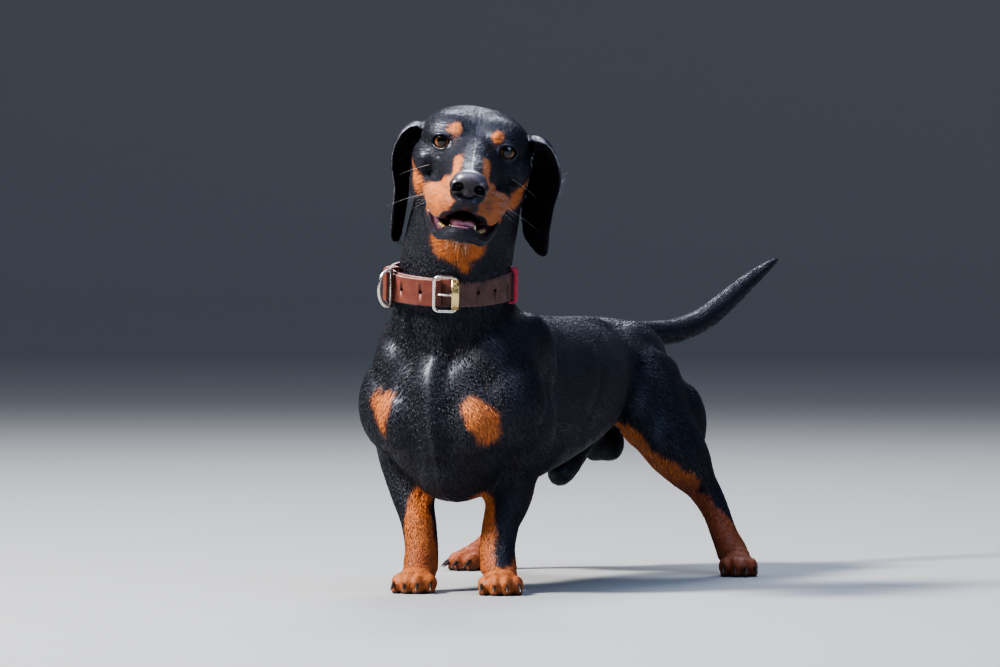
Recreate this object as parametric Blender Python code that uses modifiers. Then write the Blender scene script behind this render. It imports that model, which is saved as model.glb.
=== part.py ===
"""A smooth-haired dachshund standing alert, life size, with its leather collar.

Metres, +Z up. The dog faces -Y, its left side is +X, and its feet stand on z = 0. Flesh is modelled as
overlapping lumps and limbs that are fused into one smooth form, which thin cuts then part into the nodes a
person would name.
"""

import math

import bmesh
import bpy
import numpy as np
from mathutils import Euler, Matrix, Vector

MM = 0.001
GAP = 0.0003

# Driving sizes of the dog
HEAD_ANCHOR = Vector((0.0520, -0.2354, 0.3777))
HEAD_YAW, HEAD_PITCH, HEAD_ROLL = math.radians(22), math.radians(5.5), math.radians(9.6)
EYE_RADIUS = 10.4
EYE_CENTRE = (25.5, 14.0, 0.0)
TAIL_SWING = math.radians(22)

# Driving sizes of the collar
COLLAR_CENTRE = Vector((0.002, -0.164, 0.264))
COLLAR_AXIS = Vector((0.075, -0.150, 0.985)).normalized()
STRAP_WIDTH, STRAP_THICK, STRAP_EDGE = 0.024, 0.0034, 0.0012
COLLAR_RADIUS, COLLAR_SQUASH = 0.0500, 0.98
TONGUE_WIDTH, TONGUE_LIFT, TONGUE_BULGE = STRAP_WIDTH * 0.96, 0.0010, 0.0012
BUCKLE_HALF_LENGTH, BUCKLE_HALF_HEIGHT, BUCKLE_CORNER, BUCKLE_OUT = 0.0095, 0.0146, 0.004, 0.0098
PIN_PATH, PIN_RADIUS = ((-0.0045, 0.0125), (0.0, 0.0132), (0.0068, 0.0134)), 0.0011
RING_OUT, RING_REACH, RING_HALF_HEIGHT = 0.0112, 0.0125, 0.0160
WIRE_RADIUS = 0.0015
KEEPER_HALF_LENGTH, KEEPER_THICK, KEEPER_CORNER = 0.0035, 0.0014, 0.003
KEEPER_ROOM_OUT, KEEPER_ROOM_UP, KEEPER_RISE = 0.0030, 0.0020, 0.0012
CORD_RADIUS, CORD_TURNS, CORD_PITCH, CORD_CORNER = 0.0013, 2.5, 0.0042, 0.002

# How many triangles each flesh form keeps
BODY_TRIANGLES, HEAD_TRIANGLES, PAW_TRIANGLES, EAR_TRIANGLES, NOSE_TRIANGLES = 3300, 2300, 380, 520, 220
BODY_VOXEL, HEAD_VOXEL, PAW_VOXEL = 0.0030, 0.0016, 0.0013

# Torso stations from the forechest to the buttocks:
# y, middle x, height of the widest line, half width, top, bottom
TORSO = (
    (-0.208, 0.000, 0.160, 0.022, 0.182, 0.136),
    (-0.198, 0.000, 0.158, 0.044, 0.200, 0.112),
    (-0.175, 0.000, 0.158, 0.058, 0.220, 0.090),
    (-0.140, 0.000, 0.160, 0.064, 0.234, 0.081),
    (-0.095, 0.000, 0.164, 0.066, 0.240, 0.081),
    (-0.040, 0.001, 0.166, 0.069, 0.237, 0.088),
    (0.015, 0.002, 0.168, 0.071, 0.233, 0.100),
    (0.065, 0.004, 0.171, 0.067, 0.231, 0.113),
    (0.105, 0.005, 0.176, 0.057, 0.230, 0.125),
    (0.145, 0.006, 0.178, 0.053, 0.230, 0.132),
    (0.180, 0.007, 0.175, 0.055, 0.228, 0.130),
    (0.212, 0.007, 0.172, 0.049, 0.220, 0.130),
    (0.234, 0.007, 0.172, 0.034, 0.208, 0.136),
    (0.246, 0.007, 0.172, 0.016, 0.192, 0.150),
)

# Neck stations from the shoulders to the skull: x, y, z, half width, half depth
NECK = (
    (0.000, -0.105, 0.172, 0.060, 0.066),
    (0.000, -0.132, 0.200, 0.062, 0.064),
    (0.000, -0.153, 0.230, 0.055, 0.054),
    (0.004, -0.166, 0.262, 0.0485, 0.049),
    (0.0135, -0.175, 0.296, 0.0470, 0.046),
    (0.0245, -0.182, 0.332, 0.0450, 0.045),
    (0.030, -0.186, 0.356, 0.040, 0.040),
)

# Tail stations: distance from the root, height above it, radius
TAIL = (
    (-0.045, -0.016, 0.0150),
    (-0.010, -0.001, 0.0125),
    (0.030, 0.003, 0.0108),
    (0.070, 0.004, 0.0105),
    (0.109, 0.014, 0.0102),
    (0.142, 0.031, 0.0094),
    (0.175, 0.050, 0.0074),
    (0.200, 0.063, 0.0048),
    (0.216, 0.071, 0.0022),
)
TAIL_ROOT = Vector((0.006, 0.224, 0.209))


def catmull_rom(rows, steps):
    """Points on a smooth curve through the rows, steps to each stretch, for any number of columns."""
    rows = np.array(rows, float)
    padded = np.vstack([2 * rows[0] - rows[1], rows, 2 * rows[-1] - rows[-2]])
    found = []
    for i in range(1, len(padded) - 2):
        a, b, c, d = padded[i - 1 : i + 3]
        for t in np.linspace(0, 1, steps, endpoint=False):
            bend, twist = 2 * a - 5 * b + 4 * c - d, 3 * b - a - 3 * c + d
            found.append(0.5 * (2 * b + (c - a) * t + bend * t**2 + twist * t**3))
    found.append(rows[-1])
    return np.array(found)


def power_of(value, exponent):
    return math.copysign(abs(value) ** exponent, value)


class Clay:
    """Overlapping closed lumps in one mesh, each placed by the same matrix, ready to be fused."""

    def __init__(self, matrix=None):
        self.matrix = matrix or Matrix()
        self.mesh = bmesh.new()

    def ball(self, centre, radii, turn=(0, 0, 0), sides=28):
        place = Matrix.LocRotScale(Vector(centre), Euler([math.radians(a) for a in turn]), Vector(radii))
        bmesh.ops.create_uvsphere(
            self.mesh, u_segments=sides, v_segments=sides * 2 // 3, radius=1, matrix=self.matrix @ place
        )

    def pair(self, centre, radii, turn=(0, 0, 0)):
        """The same ball on the left side and mirrored on the right."""
        self.ball(centre, radii, turn)
        self.ball((-centre[0], *centre[1:]), radii, (turn[0], -turn[1], -turn[2]))

    def loft(self, rings):
        """A closed skin over rings of points, each ring with the same count."""
        made = [[self.mesh.verts.new(self.matrix @ Vector(p)) for p in ring] for ring in rings]
        for low, high in zip(made, made[1:]):
            for i in range(len(low)):
                j = (i + 1) % len(low)
                self.mesh.faces.new((low[i], low[j], high[j], high[i]))
        self.mesh.faces.new(list(reversed(made[0])))
        self.mesh.faces.new(made[-1])

    def barrel(self, stations, steps=4, sides=28, power=2.3):
        """A body along Y from stations (y, x, widest z, half width, top z, bottom z)."""
        rings = []
        for y, x, middle, half, top, bottom in catmull_rom(stations, steps):
            ring = []
            for k in range(sides):
                angle = -2 * math.pi * k / sides
                across = power_of(math.cos(angle), 2 / power) * max(half, 0.3 * MM)
                rise = power_of(math.sin(angle), 2 / power)
                reach = top - middle if rise > 0 else middle - bottom
                ring.append((x + across, y, middle + rise * reach))
            rings.append(ring)
        self.loft(rings)

    def limb(self, stations, steps=4, sides=20, side=(1, 0, 0)):
        """A tapered limb through stations (x, y, z, radius across, radius fore and aft)."""
        rows = catmull_rom(stations, steps)
        tangents = np.gradient(rows[:, :3], axis=0)
        rings = []
        for row, tangent in zip(rows, tangents):
            along = Vector(tangent).normalized()
            across = (Vector(side) - along * along.dot(Vector(side))).normalized()
            fore = along.cross(across)
            centre = Vector(row[:3])
            rings.append(
                [
                    centre
                    + across * math.cos(2 * math.pi * k / sides) * row[3]
                    + fore * math.sin(2 * math.pi * k / sides) * row[4]
                    for k in range(sides)
                ]
            )
        self.loft(rings)


def collection(name):
    made = bpy.data.collections.new(name)
    bpy.context.scene.collection.children.link(made)
    return made


def material(name, colour, roughness, metallic=0.0):
    made = bpy.data.materials.new(name)
    made.use_nodes = True
    shader = made.node_tree.nodes["Principled BSDF"]
    shader.inputs["Base Color"].default_value = (*colour, 1)
    shader.inputs["Roughness"].default_value = roughness
    shader.inputs["Metallic"].default_value = metallic
    made.diffuse_color = (*colour, 1)
    return made


def object_from(name, mesh, group):
    made = bpy.data.objects.new(name, mesh)
    group.objects.link(made)
    return made


def mesh_from(name, bm):
    bmesh.ops.recalc_face_normals(bm, faces=bm.faces)
    mesh = bpy.data.meshes.new(name)
    bm.to_mesh(mesh)
    bm.free()
    return mesh


def settle(obj):
    """Applies every modifier of the object to its mesh."""
    bpy.context.view_layer.update()
    evaluated = obj.evaluated_get(bpy.context.evaluated_depsgraph_get())
    mesh = bpy.data.meshes.new_from_object(evaluated)
    obj.modifiers.clear()
    obj.data = mesh
    return obj


def fused(name, clay, voxel, passes, triangles, softness=None):
    """One smooth closed form from the clay's lumps.

    softness(point) gives 0 to 1 for how much a place is smoothed.
    """
    form = object_from(name, mesh_from(name, clay.mesh), HELPERS)
    remesh = form.modifiers.new("Fuse", "REMESH")
    remesh.mode = "VOXEL"
    remesh.voxel_size = voxel
    settle(form)
    group = form.vertex_groups.new(name="softness")
    for vertex in form.data.vertices:
        group.add([vertex.index], softness(vertex.co) if softness else 1.0, "REPLACE")
    smooth = form.modifiers.new("Smooth", "SMOOTH")
    smooth.factor, smooth.iterations, smooth.vertex_group = 0.5, passes, group.name
    settle(form)
    thin = form.modifiers.new("Thin", "DECIMATE")
    thin.ratio = min(1.0, triangles / (2 * len(form.data.polygons)))
    settle(form)
    form.hide_render, form.display_type = True, "WIRE"
    return form


def boolean(obj, cutter, operation, overlapping=False):
    """One exact Boolean, applied at once. overlapping says that the cutter's own lumps cross each other."""
    change = obj.modifiers.new(operation, "BOOLEAN")
    change.operation, change.object, change.solver = operation, cutter, "EXACT"
    change.use_self = overlapping
    return settle(obj)


def largest_piece(obj):
    """Keeps only the largest closed surface of the object's mesh."""
    bm = bmesh.new()
    bm.from_mesh(obj.data)
    bmesh.ops.triangulate(bm, faces=bm.faces)
    unseen, shells = set(bm.verts), []
    while unseen:
        stack, shell = [unseen.pop()], []
        while stack:
            vertex = stack.pop()
            shell.append(vertex)
            for edge in vertex.link_edges:
                other = edge.other_vert(vertex)
                if other in unseen:
                    unseen.remove(other)
                    stack.append(other)
        shells.append(shell)
    shells.sort(key=len)
    bmesh.ops.delete(bm, geom=[v for shell in shells[:-1] for v in shell], context="VERTS")
    bm.to_mesh(obj.data)
    bm.free()
    return obj


def copy_of(obj, name, group):
    made = object_from(name, obj.data.copy(), group)
    made.matrix_world = obj.matrix_world
    return made


def grown(obj, amount):
    """A helper copy of the object, moved outwards along its normals by the amount."""
    made = copy_of(obj, obj.name + "_grown", HELPERS)
    normals = [v.normal.copy() for v in made.data.vertices]
    for vertex, normal in zip(made.data.vertices, normals):
        vertex.co += normal * amount
    made.hide_render, made.display_type = True, "WIRE"
    return made


def block(name, corner_low, corner_high, matrix=None):
    """A cutter box between two corners of the matrix's frame."""
    bm = bmesh.new()
    bmesh.ops.create_cube(bm, size=1)
    low, high = Vector(corner_low), Vector(corner_high)
    place = Matrix.LocRotScale((low + high) / 2, None, high - low)
    bmesh.ops.transform(bm, matrix=(matrix or Matrix()) @ place, verts=bm.verts)
    made = object_from(name, mesh_from(name, bm), HELPERS)
    made.hide_render, made.display_type = True, "WIRE"
    return made


def prism(name, outline, half_width, matrix):
    """A cutter whose outline lies in the matrix's YZ plane and which reaches half_width to both sides."""
    bm = bmesh.new()
    ends = [[bm.verts.new(matrix @ Vector((x, y, z))) for y, z in outline] for x in (-half_width, half_width)]
    for i in range(len(outline)):
        j = (i + 1) % len(outline)
        bm.faces.new((ends[0][i], ends[0][j], ends[1][j], ends[1][i]))
    bm.faces.new(ends[0])
    bm.faces.new(ends[1])
    made = object_from(name, mesh_from(name, bm), HELPERS)
    made.hide_render, made.display_type = True, "WIRE"
    return made


def clay_object(name, clay, group=None):
    made = object_from(name, mesh_from(name, clay.mesh), group or HELPERS)
    if group is None:
        made.hide_render, made.display_type = True, "WIRE"
    return made


def frame_at(origin, up, forward=(0, -1, 0)):
    """A matrix whose Z is up and whose -Y leans to forward, at the origin."""
    z = Vector(up).normalized()
    y = (-Vector(forward) + z * z.dot(Vector(forward))).normalized()
    x = y.cross(z)
    return Matrix.Translation(Vector(origin)) @ Matrix((x, y, z)).transposed().to_4x4()


def node(name, obj, look):
    """Names a finished object and gives it its material and smooth shading."""
    obj.name = name
    obj.data.name = name
    obj.hide_render, obj.display_type = False, "TEXTURED"
    obj.data.materials.clear()
    obj.data.materials.append(look)
    obj.data.shade_smooth()
    obj.data.set_sharp_from_angle(angle=math.radians(50))
    for group in list(obj.users_collection):
        group.objects.unlink(obj)
    DOG.objects.link(obj)
    return obj


# The head's frame is in millimetres: its origin is between the eyes, the nose to -Y, the dog's left at +X
def head_matrix():
    yaw, pitch = Matrix.Rotation(HEAD_YAW, 4, "Z"), Matrix.Rotation(HEAD_PITCH, 4, "X")
    roll = Matrix.Rotation(HEAD_ROLL, 4, "Y")
    return Matrix.Translation(HEAD_ANCHOR) @ yaw @ pitch @ roll @ Matrix.Scale(MM, 4)


def trunk_clay(clay):
    """Torso, neck and the muscles that show on them."""
    clay.barrel(TORSO)
    clay.limb(NECK, sides=28)
    # Base of the neck, shoulder blade, point of the shoulder and upper arm
    clay.pair((0.036, -0.142, 0.196), (0.036, 0.044, 0.046), (10, 14, 0))
    clay.pair((0.050, -0.112, 0.190), (0.024, 0.034, 0.052), (24, 10, 0))
    clay.pair((0.052, -0.158, 0.160), (0.031, 0.040, 0.044))
    clay.pair((0.036, -0.164, 0.192), (0.030, 0.034, 0.036), (20, 20, 0))
    clay.pair((0.055, -0.128, 0.140), (0.025, 0.036, 0.044), (-20, 0, 0))
    # Breast muscles and the keel between them
    clay.pair((0.028, -0.186, 0.148), (0.028, 0.026, 0.034))
    clay.ball((0.000, -0.188, 0.158), (0.026, 0.029, 0.050))
    clay.ball((0.000, -0.150, 0.104), (0.036, 0.046, 0.028))
    # Withers and the muscles along the spine
    clay.ball((0.000, -0.112, 0.212), (0.030, 0.050, 0.032), (20, 0, 0))
    clay.pair((0.022, 0.080, 0.214), (0.018, 0.120, 0.018))
    # Croup and buttocks
    clay.pair((0.034, 0.178, 0.188), (0.030, 0.054, 0.038), (-10, 0, 0))
    clay.pair((0.032, 0.220, 0.166), (0.026, 0.026, 0.038))
    # Sheath and scrotum of the male
    clay.limb(((0.002, 0.170, 0.128, 0.013, 0.010), (0.002, 0.125, 0.112, 0.014, 0.013),
               (0.002, 0.092, 0.096, 0.0145, 0.014), (0.002, 0.077, 0.086, 0.010, 0.010)))
    clay.ball((0.010, 0.190, 0.115), (0.0125, 0.018, 0.018))
    clay.ball((-0.004, 0.186, 0.115), (0.0125, 0.018, 0.018))


# Foreleg of each side: elbow to wrist and paw, as x, y, z, radius across, radius fore and aft
FORELEGS = {
    "left": (
        (0.058, -0.128, 0.158, 0.024, 0.034),
        (0.048, -0.124, 0.120, 0.021, 0.024),
        (0.043, -0.132, 0.088, 0.0185, 0.021),
        (0.038, -0.142, 0.060, 0.0160, 0.0165),
        (0.037, -0.148, 0.038, 0.0155, 0.0155),
        (0.041, -0.154, 0.018, 0.0160, 0.0165),
    ),
    "right": (
        (-0.060, -0.128, 0.158, 0.024, 0.034),
        (-0.060, -0.124, 0.120, 0.022, 0.028),
        (-0.049, -0.134, 0.088, 0.0190, 0.021),
        (-0.037, -0.144, 0.060, 0.0155, 0.0165),
        (-0.032, -0.149, 0.038, 0.0145, 0.0155),
        (-0.031, -0.154, 0.018, 0.0155, 0.0165),
    ),
}

# Hind leg for a spread of 1, from the hip to the foot; the two sides spread by their own measure
HINDLEG = (
    (0.034, 0.178, 0.182, 0.034, 0.046),
    (0.048, 0.166, 0.152, 0.032, 0.046),
    (0.066, 0.160, 0.124, 0.027, 0.037),
    (0.081, 0.172, 0.100, 0.0215, 0.0290),
    (0.089, 0.190, 0.078, 0.0135, 0.0180),
    (0.097, 0.198, 0.060, 0.0125, 0.0152),
    (0.109, 0.192, 0.036, 0.0122, 0.0142),
    (0.120, 0.186, 0.018, 0.0145, 0.0160),
)
HIND_SPREAD = {"left": 1.0, "right": -0.95}
SIGNS = {"left": 1, "right": -1}


def hindleg_stations(side):
    return [(x * HIND_SPREAD[side] + 0.008, y, z, across, fore) for x, y, z, across, fore in HINDLEG]


def leg_clay(clay, side):
    sign = SIGNS[side]
    clay.limb(FORELEGS[side])
    elbow = FORELEGS[side][1]
    clay.ball((elbow[0] - 0.002 * sign, elbow[1] + 0.015, elbow[2] + 0.006), (0.010, 0.015, 0.017))
    stations = hindleg_stations(side)
    clay.limb(stations)
    thigh, knee, hock = stations[1], stations[2], stations[4]
    x, y, z = thigh[:3]
    clay.ball((x + 0.002 * sign, y - 0.024, z - 0.006), (0.022, 0.034, 0.034), (30, 0, 0))
    clay.ball((x + 0.016 * sign, y + 0.033, z - 0.022), (0.024, 0.030, 0.042), (-14, 0, 0))
    clay.ball((knee[0], knee[1] - 0.028, knee[2] - 0.004), (0.015, 0.017, 0.018))
    clay.ball((hock[0] + 0.003 * sign, hock[1] + 0.013, hock[2] - 0.006), (0.0075, 0.0085, 0.012))


def tail_stations():
    swing = Vector((math.sin(TAIL_SWING), math.cos(TAIL_SWING), 0))
    return [(*(TAIL_ROOT + swing * along + Vector((0, 0, rise))), radius, radius * 1.12)
            for along, rise, radius in TAIL]


def body_softness(point):
    """Thin ends keep their width: feet, hocks and the tail are smoothed less than the trunk."""
    low = min(1.0, max(0.0, (point.z - 0.05) / 0.05))
    tail = 1.0 - min(1.0, max(0.0, (point.y - 0.25) / 0.03))
    return 0.18 + 0.82 * low * tail


def make_body():
    clay = Clay()
    trunk_clay(clay)
    for side in SIGNS:
        leg_clay(clay, side)
    clay.limb(tail_stations(), side=(1, 0, 0))
    return fused("body_form", clay, BODY_VOXEL, 9, BODY_TRIANGLES, body_softness)


# Muzzle stations in the head's frame: y, x, height of the widest line, half width, top, bottom
MUZZLE = (
    (34, 0, -24, 38.0, 17, -52),
    (14, 0, -26, 33.0, 12, -52),
    (-6, 0, -28, 27.0, 5, -52),
    (-26, 0, -32, 23.5, -2, -52),
    (-48, 0, -34, 21.0, -7, -52),
    (-68, 0, -34, 18.0, -10, -50),
    (-80, 0, -32, 14.5, -12, -46),
    (-87, 0, -31, 9.0, -15, -43),
)

# Lower jaw stations, as for the muzzle
JAW = (
    (26, 0, -54, 30.0, -42, -75),
    (2, 0, -57, 28.5, -44, -76),
    (-20, 0, -60, 25.0, -48, -76),
    (-44, 0, -64, 20.5, -52, -76),
    (-64, 0, -65, 16.0, -54, -75),
    (-76, 0, -65, 12.5, -55, -73),
    (-82, 0, -64, 7.0, -57, -69),
)

# Rolls of the upper and the lower lip on one side, from the cheek to the front:
# x, y, z, radius across and in height
UPPER_LIP = (
    (26, 20, -34, 5, 6),
    (31, 0, -39, 6.5, 9),
    (29, -20, -42, 6.5, 11),
    (25.5, -38, -45.5, 6, 13),
    (20, -56, -46, 6, 13),
    (13.5, -73, -43, 6.5, 10),
    (6, -82, -39, 6, 8),
    (0, -84, -37, 5, 7),
)
LOWER_LIP = (
    (20, 6, -56, 4, 5),
    (28, -10, -57, 5, 7),
    (27, -24, -63, 4, 6.5),
    (23, -38, -69, 4, 5.5),
    (19, -50, -72, 4.2, 5),
    (14.5, -64, -70, 4.5, 5.5),
    (8, -75, -65.5, 4.5, 6.5),
    (0, -79, -64, 4.5, 6.5),
)

# The open mouth from its corner to the front: y, upper lip's edge, lower lip's edge
MOUTH = (
    (-18, -46.0, -48.0),
    (-25, -50.0, -57.0),
    (-35, -56.0, -63.5),
    (-49, -58.5, -67.0),
    (-62, -57.0, -65.5),
    (-74, -51.0, -60.5),
    (-85, -47.0, -58.0),
    (-98, -46.0, -58.0),
)


def both_sides(clay, stations):
    """A roll along one side's stations and along their mirror image."""
    for sign in (-1, 1):
        clay.limb([(sign * x, y, z, across, height) for x, y, z, across, height in stations])


def head_clay(clay):
    """Skull, muzzle, cheeks, lips, brows and lids in the head's frame."""
    clay.ball((0, 56, -3.5), (50, 54, 33.5))
    clay.pair((17.5, 34, 3), (28, 32, 23.5), (0, 0, 10))
    clay.pair((39, 40, -18), (12.5, 34, 17))
    clay.pair((33, 40, -36), (17, 27, 24), (12, 0, 0))
    clay.barrel(MUZZLE)
    clay.barrel(JAW)
    both_sides(clay, UPPER_LIP)
    both_sides(clay, LOWER_LIP)
    # Brows over the eyes, the lids round them and the cheek that carries them
    clay.pair((19, 17, 7), (13, 14, 11), (0, 0, 20))
    clay.pair(EYE_CENTRE, [EYE_RADIUS + 2.2] * 3)
    clay.pair((27, 20, -14), (14, 18, 15))
    # Throat under the jaw
    clay.ball((0, 30, -62), (34, 36, 22), (-10, 0, 0))


def eye_frame(sign):
    """The eye's own frame, with -Y out of the pupil."""
    out = Vector((sign * 0.36, -1.0, 0.05))
    return frame_at((sign * EYE_CENTRE[0], EYE_CENTRE[1], EYE_CENTRE[2]), (sign * 0.12, 0, 1), out)


def eye_opening(sign):
    """An almond-shaped cutter that opens the lids as far as the eyeball."""
    clay = Clay(HEAD @ eye_frame(sign))
    rings = []
    for depth, share in ((-4.0, 0.86), (-8.5, 1.0), (-22.0, 1.25)):
        ring = []
        for k in range(20):
            angle = 2 * math.pi * k / 20
            across = power_of(math.cos(angle), 1.05) * 8.6 * share
            rise = power_of(math.sin(angle), 1.15) * (6.6 if math.sin(angle) > 0 else 6.0) * share
            ring.append((across, depth, rise))
        rings.append(ring)
    clay.loft(rings)
    return clay_object("eye_opening", clay)


def eyeball(sign, radius, name):
    clay = Clay(HEAD @ eye_frame(sign))
    clay.ball((0, 0, 0), (radius, radius, radius), (90, 0, 0), 14)
    return clay_object(name, clay)


def mouth_cutter():
    """The space between the lips, open at the front and sides, with the hollow of the mouth inside."""
    outline = [(y, top) for y, top, _ in MOUTH] + [(y, bottom) for y, _, bottom in reversed(MOUTH)]
    return prism("mouth_gap", [tuple(p) for p in outline], 45, HEAD)


def mouth_hollow():
    clay = Clay(HEAD)
    clay.barrel(((-27, 0, -52, 9, -47, -58), (-41, 0, -55, 12.4, -45, -66), (-60, 0, -56, 12.0, -45.5, -67),
                 (-71, 0, -54, 8.5, -45, -63), (-76, 0, -54, 4, -49, -59.5)), steps=2, sides=16)
    return clay_object("mouth_hollow", clay)


def jaw_region():
    """Everything under the mouth and ahead of a slanted plane from the mouth's corner to the throat."""
    middle = [(y, (top + bottom) / 2) for y, top, bottom in MOUTH]
    outline = [*middle, (-130, -54), (-130, -110), (10, -110)]
    return prism("jaw_region", outline, 60, HEAD)


def tongue_clay(spare):
    clay = Clay(HEAD)
    clay.barrel(((-29 + spare, 0, -56, 7.0 + spare, -52.5 + spare, -60 - spare),
                 (-42, 0, -58, 10.0 + spare, -53 + spare, -65 - spare),
                 (-60, 0, -58, 10.0 + spare, -54 + spare, -66 - spare),
                 (-69, 0, -57.5, 7.5 + spare, -55 + spare, -62 - spare),
                 (-73 - spare, 0, -57, 3.5 + spare, -56 + spare, -59 - spare)), steps=2, sides=14, power=2.0)
    return clay


# Left lower canine and first cheek teeth: x, y, height over their roots, radius
SIDE_TEETH = ((9.8, -74.5, 12.6, 1.8), (12.8, -67, 6.6, 1.6), (14.6, -59.5, 6, 1.9), (16, -51.5, 6.2, 2))
TOOTH_BASE, TOOTH_LEAN, INCISOR_HEIGHT, INCISOR_RADIUS = -68.5, 0.10, 11.0, 1.1


def lower_teeth():
    """Six small incisors, two canines and the first cheek teeth, standing in the lower jaw's arc."""
    teeth = Clay(HEAD)
    rows = [(2 * (k - 2.5), -77 + 0.05 * (k - 2.5) ** 2, INCISOR_HEIGHT, INCISOR_RADIUS) for k in range(6)]
    rows += [(sign * x, y, height, radius) for sign in (-1, 1) for x, y, height, radius in SIDE_TEETH]
    for x, y, height, radius in rows:
        rings = []
        for share, width in ((0.0, 1.15), (0.6, 1.0), (1.0, 0.3)):
            ring = []
            for k in range(5):
                angle = -2 * math.pi * k / 5
                ring.append((x * (1 + TOOTH_LEAN * share) + radius * width * math.cos(angle),
                             y + radius * width * math.sin(angle), TOOTH_BASE + height * share))
            rings.append(ring)
        teeth.loft(list(reversed(rings)))
    return teeth


def nose_clay():
    clay = Clay(HEAD)
    clay.ball((0, -82, -22), (15.0, 11.5, 11.5), (-12, 0, 0))
    clay.pair((8.5, -84, -25), (7.8, 9.5, 8.6), (0, 0, 14))
    clay.ball((0, -84, -33), (7.0, 7.0, 7.5))
    return clay


def nostril_cutter(sign):
    clay = Clay(HEAD)
    clay.ball((sign * 7.6, -93, -26.5), (3.4, 6.5, 3.0), (0, 0, -sign * 20), 12)
    clay.ball((sign * 12.2, -90, -28.5), (4.4, 5.0, 1.1), (0, sign * 24, sign * 50), 10)
    return clay_object("nostril_cutter", clay)


# Each ear's leather from fold to tip: its front edge and its back edge as x, y, z, with x away from the head
EARS = {
    "left": (
        ((28, 38, 0), (28, 68, -6)),
        ((43, 34, 8), (42, 74, 0)),
        ((57, 30, 10), (48, 80, -1)),
        ((69, 29, 1), (49, 86, -12)),
        ((77, 33, -18), (48, 89, -32)),
        ((75, 40, -43), (48, 88, -54)),
        ((76, 49, -67), (54, 81, -75)),
        ((79, 58, -88), (67, 73, -90)),
    ),
    "right": (
        ((28, 38, -2), (28, 68, -8)),
        ((44, 34, 5), (42, 74, -3)),
        ((57, 30, 4), (47, 80, -6)),
        ((65, 31, -10), (48, 86, -20)),
        ((66, 36, -28), (48, 89, -38)),
        ((60, 42, -50), (47, 88, -58)),
        ((59, 50, -76), (47, 84, -83)),
        ((58, 57, -96), (47, 78, -99)),
    ),
}
EAR_THICK, EAR_CUP, EAR_COLUMNS = 3.4, 7.0, 10


def ear_clay(side):
    """The ear's leather as a closed loft, cupped outwards between its two edges, with a rounded root."""
    sign = SIGNS[side]
    clay = Clay(HEAD)
    rows = catmull_rom([(*front, *back) for front, back in EARS[side]], 5)
    rings = []
    for number, row in enumerate(rows):
        front, back = Vector(row[:3]), Vector(row[3:])
        share = number / (len(rows) - 1)
        narrow = math.sqrt(max(0.0, 1 - max(0.0, (share - 0.90) / 0.10) ** 2)) * 0.6 + 0.4
        middle, half = (front + back) / 2, (back - front) / 2 * narrow
        ends = rows[max(0, number - 1)], rows[min(len(rows) - 1, number + 1)]
        along = Vector(ends[1][:3] + ends[1][3:]) - Vector(ends[0][:3] + ends[0][3:])
        normal = along.cross(half).normalized()
        cup = EAR_CUP * math.sin(math.pi * min(1.0, 0.15 + share))
        ring = []
        for face in (1, -1):
            for k in range(EAR_COLUMNS + 1):
                across = (2 * k / EAR_COLUMNS - 1) * face
                thick = EAR_THICK / 2 * (0.5 + 0.5 * math.sqrt(max(0.0, 1 - across**4)))
                point = middle + half * across + normal * (cup * (1 - across**2) + face * thick)
                ring.append((sign * point.x, point.y, point.z))
        rings.append(ring)
    clay.loft(rings)
    clay.ball((sign * 40, 53, 1), (11, 21, 9), (12, sign * 24, 0))
    return clay


def make_ear(side):
    return fused(f"ear_{side}_form", ear_clay(side), 0.0009, 3, EAR_TRIANGLES)


def make_head():
    clay = Clay(HEAD)
    head_clay(clay)
    neck = Clay()
    neck.limb(NECK, sides=28)
    merged = bpy.data.meshes.new("neck_stub")
    neck.mesh.to_mesh(merged)
    neck.mesh.free()
    clay.mesh.from_mesh(merged)
    return fused("head_form", clay, HEAD_VOXEL, 8, HEAD_TRIANGLES)


def paw_clay(clay, hind):
    """A foot in its own frame in millimetres: toes to -Y, sole on z = 0, wrist or hock over the origin."""
    length = 1.0 if hind else 1.06
    width = 0.92 if hind else 1.04
    clay.ball((0, 0, 15), (14.5 * width, 16, 13))
    clay.ball((0, -13 * length, 12), (15.5 * width, 13, 10.5))
    clay.ball((0, 2, 5), (10 * width, 9.5, 7))
    for place, reach, lift in ((-1.5, 21, 0.0), (-0.5, 27, 1.2), (0.5, 27, 1.2), (1.5, 21, 0.0)):
        x = place * 9.0 * width
        clay.ball((x, -reach * length, 8.5 + lift), (5.6 * width, 11, 8.4), (8, 0, -place * 7))
        clay.ball((x * 1.02, -(reach + 3) * length, 3.0), (4.6 * width, 6.5, 4.6))


def claw_clay(matrix, hind):
    """Four claws, each a short curved cone out of its toe."""
    claws = Clay(matrix)
    length = 1.0 if hind else 1.06
    width = 0.92 if hind else 1.04
    for place, reach in ((-1.5, 21), (-0.5, 27), (0.5, 27), (1.5, 21)):
        x = place * 9.0 * width
        turn = -place * math.radians(7)
        rings = []
        for share in (0.0, 0.5, 1.0):
            radius = 2.3 * (1 - share) ** 0.7 + 0.35
            forward = reach * length + 5 + 11.0 * share
            rise = 8.8 - 5.6 * share**1.7
            ring = []
            for k in range(6):
                angle = 2 * math.pi * k / 6
                ring.append((x + radius * math.cos(angle) - (forward - reach) * math.sin(turn), -forward,
                             rise + radius * math.sin(angle)))
            rings.append(ring)
        claws.loft(rings)
    return claws


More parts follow.
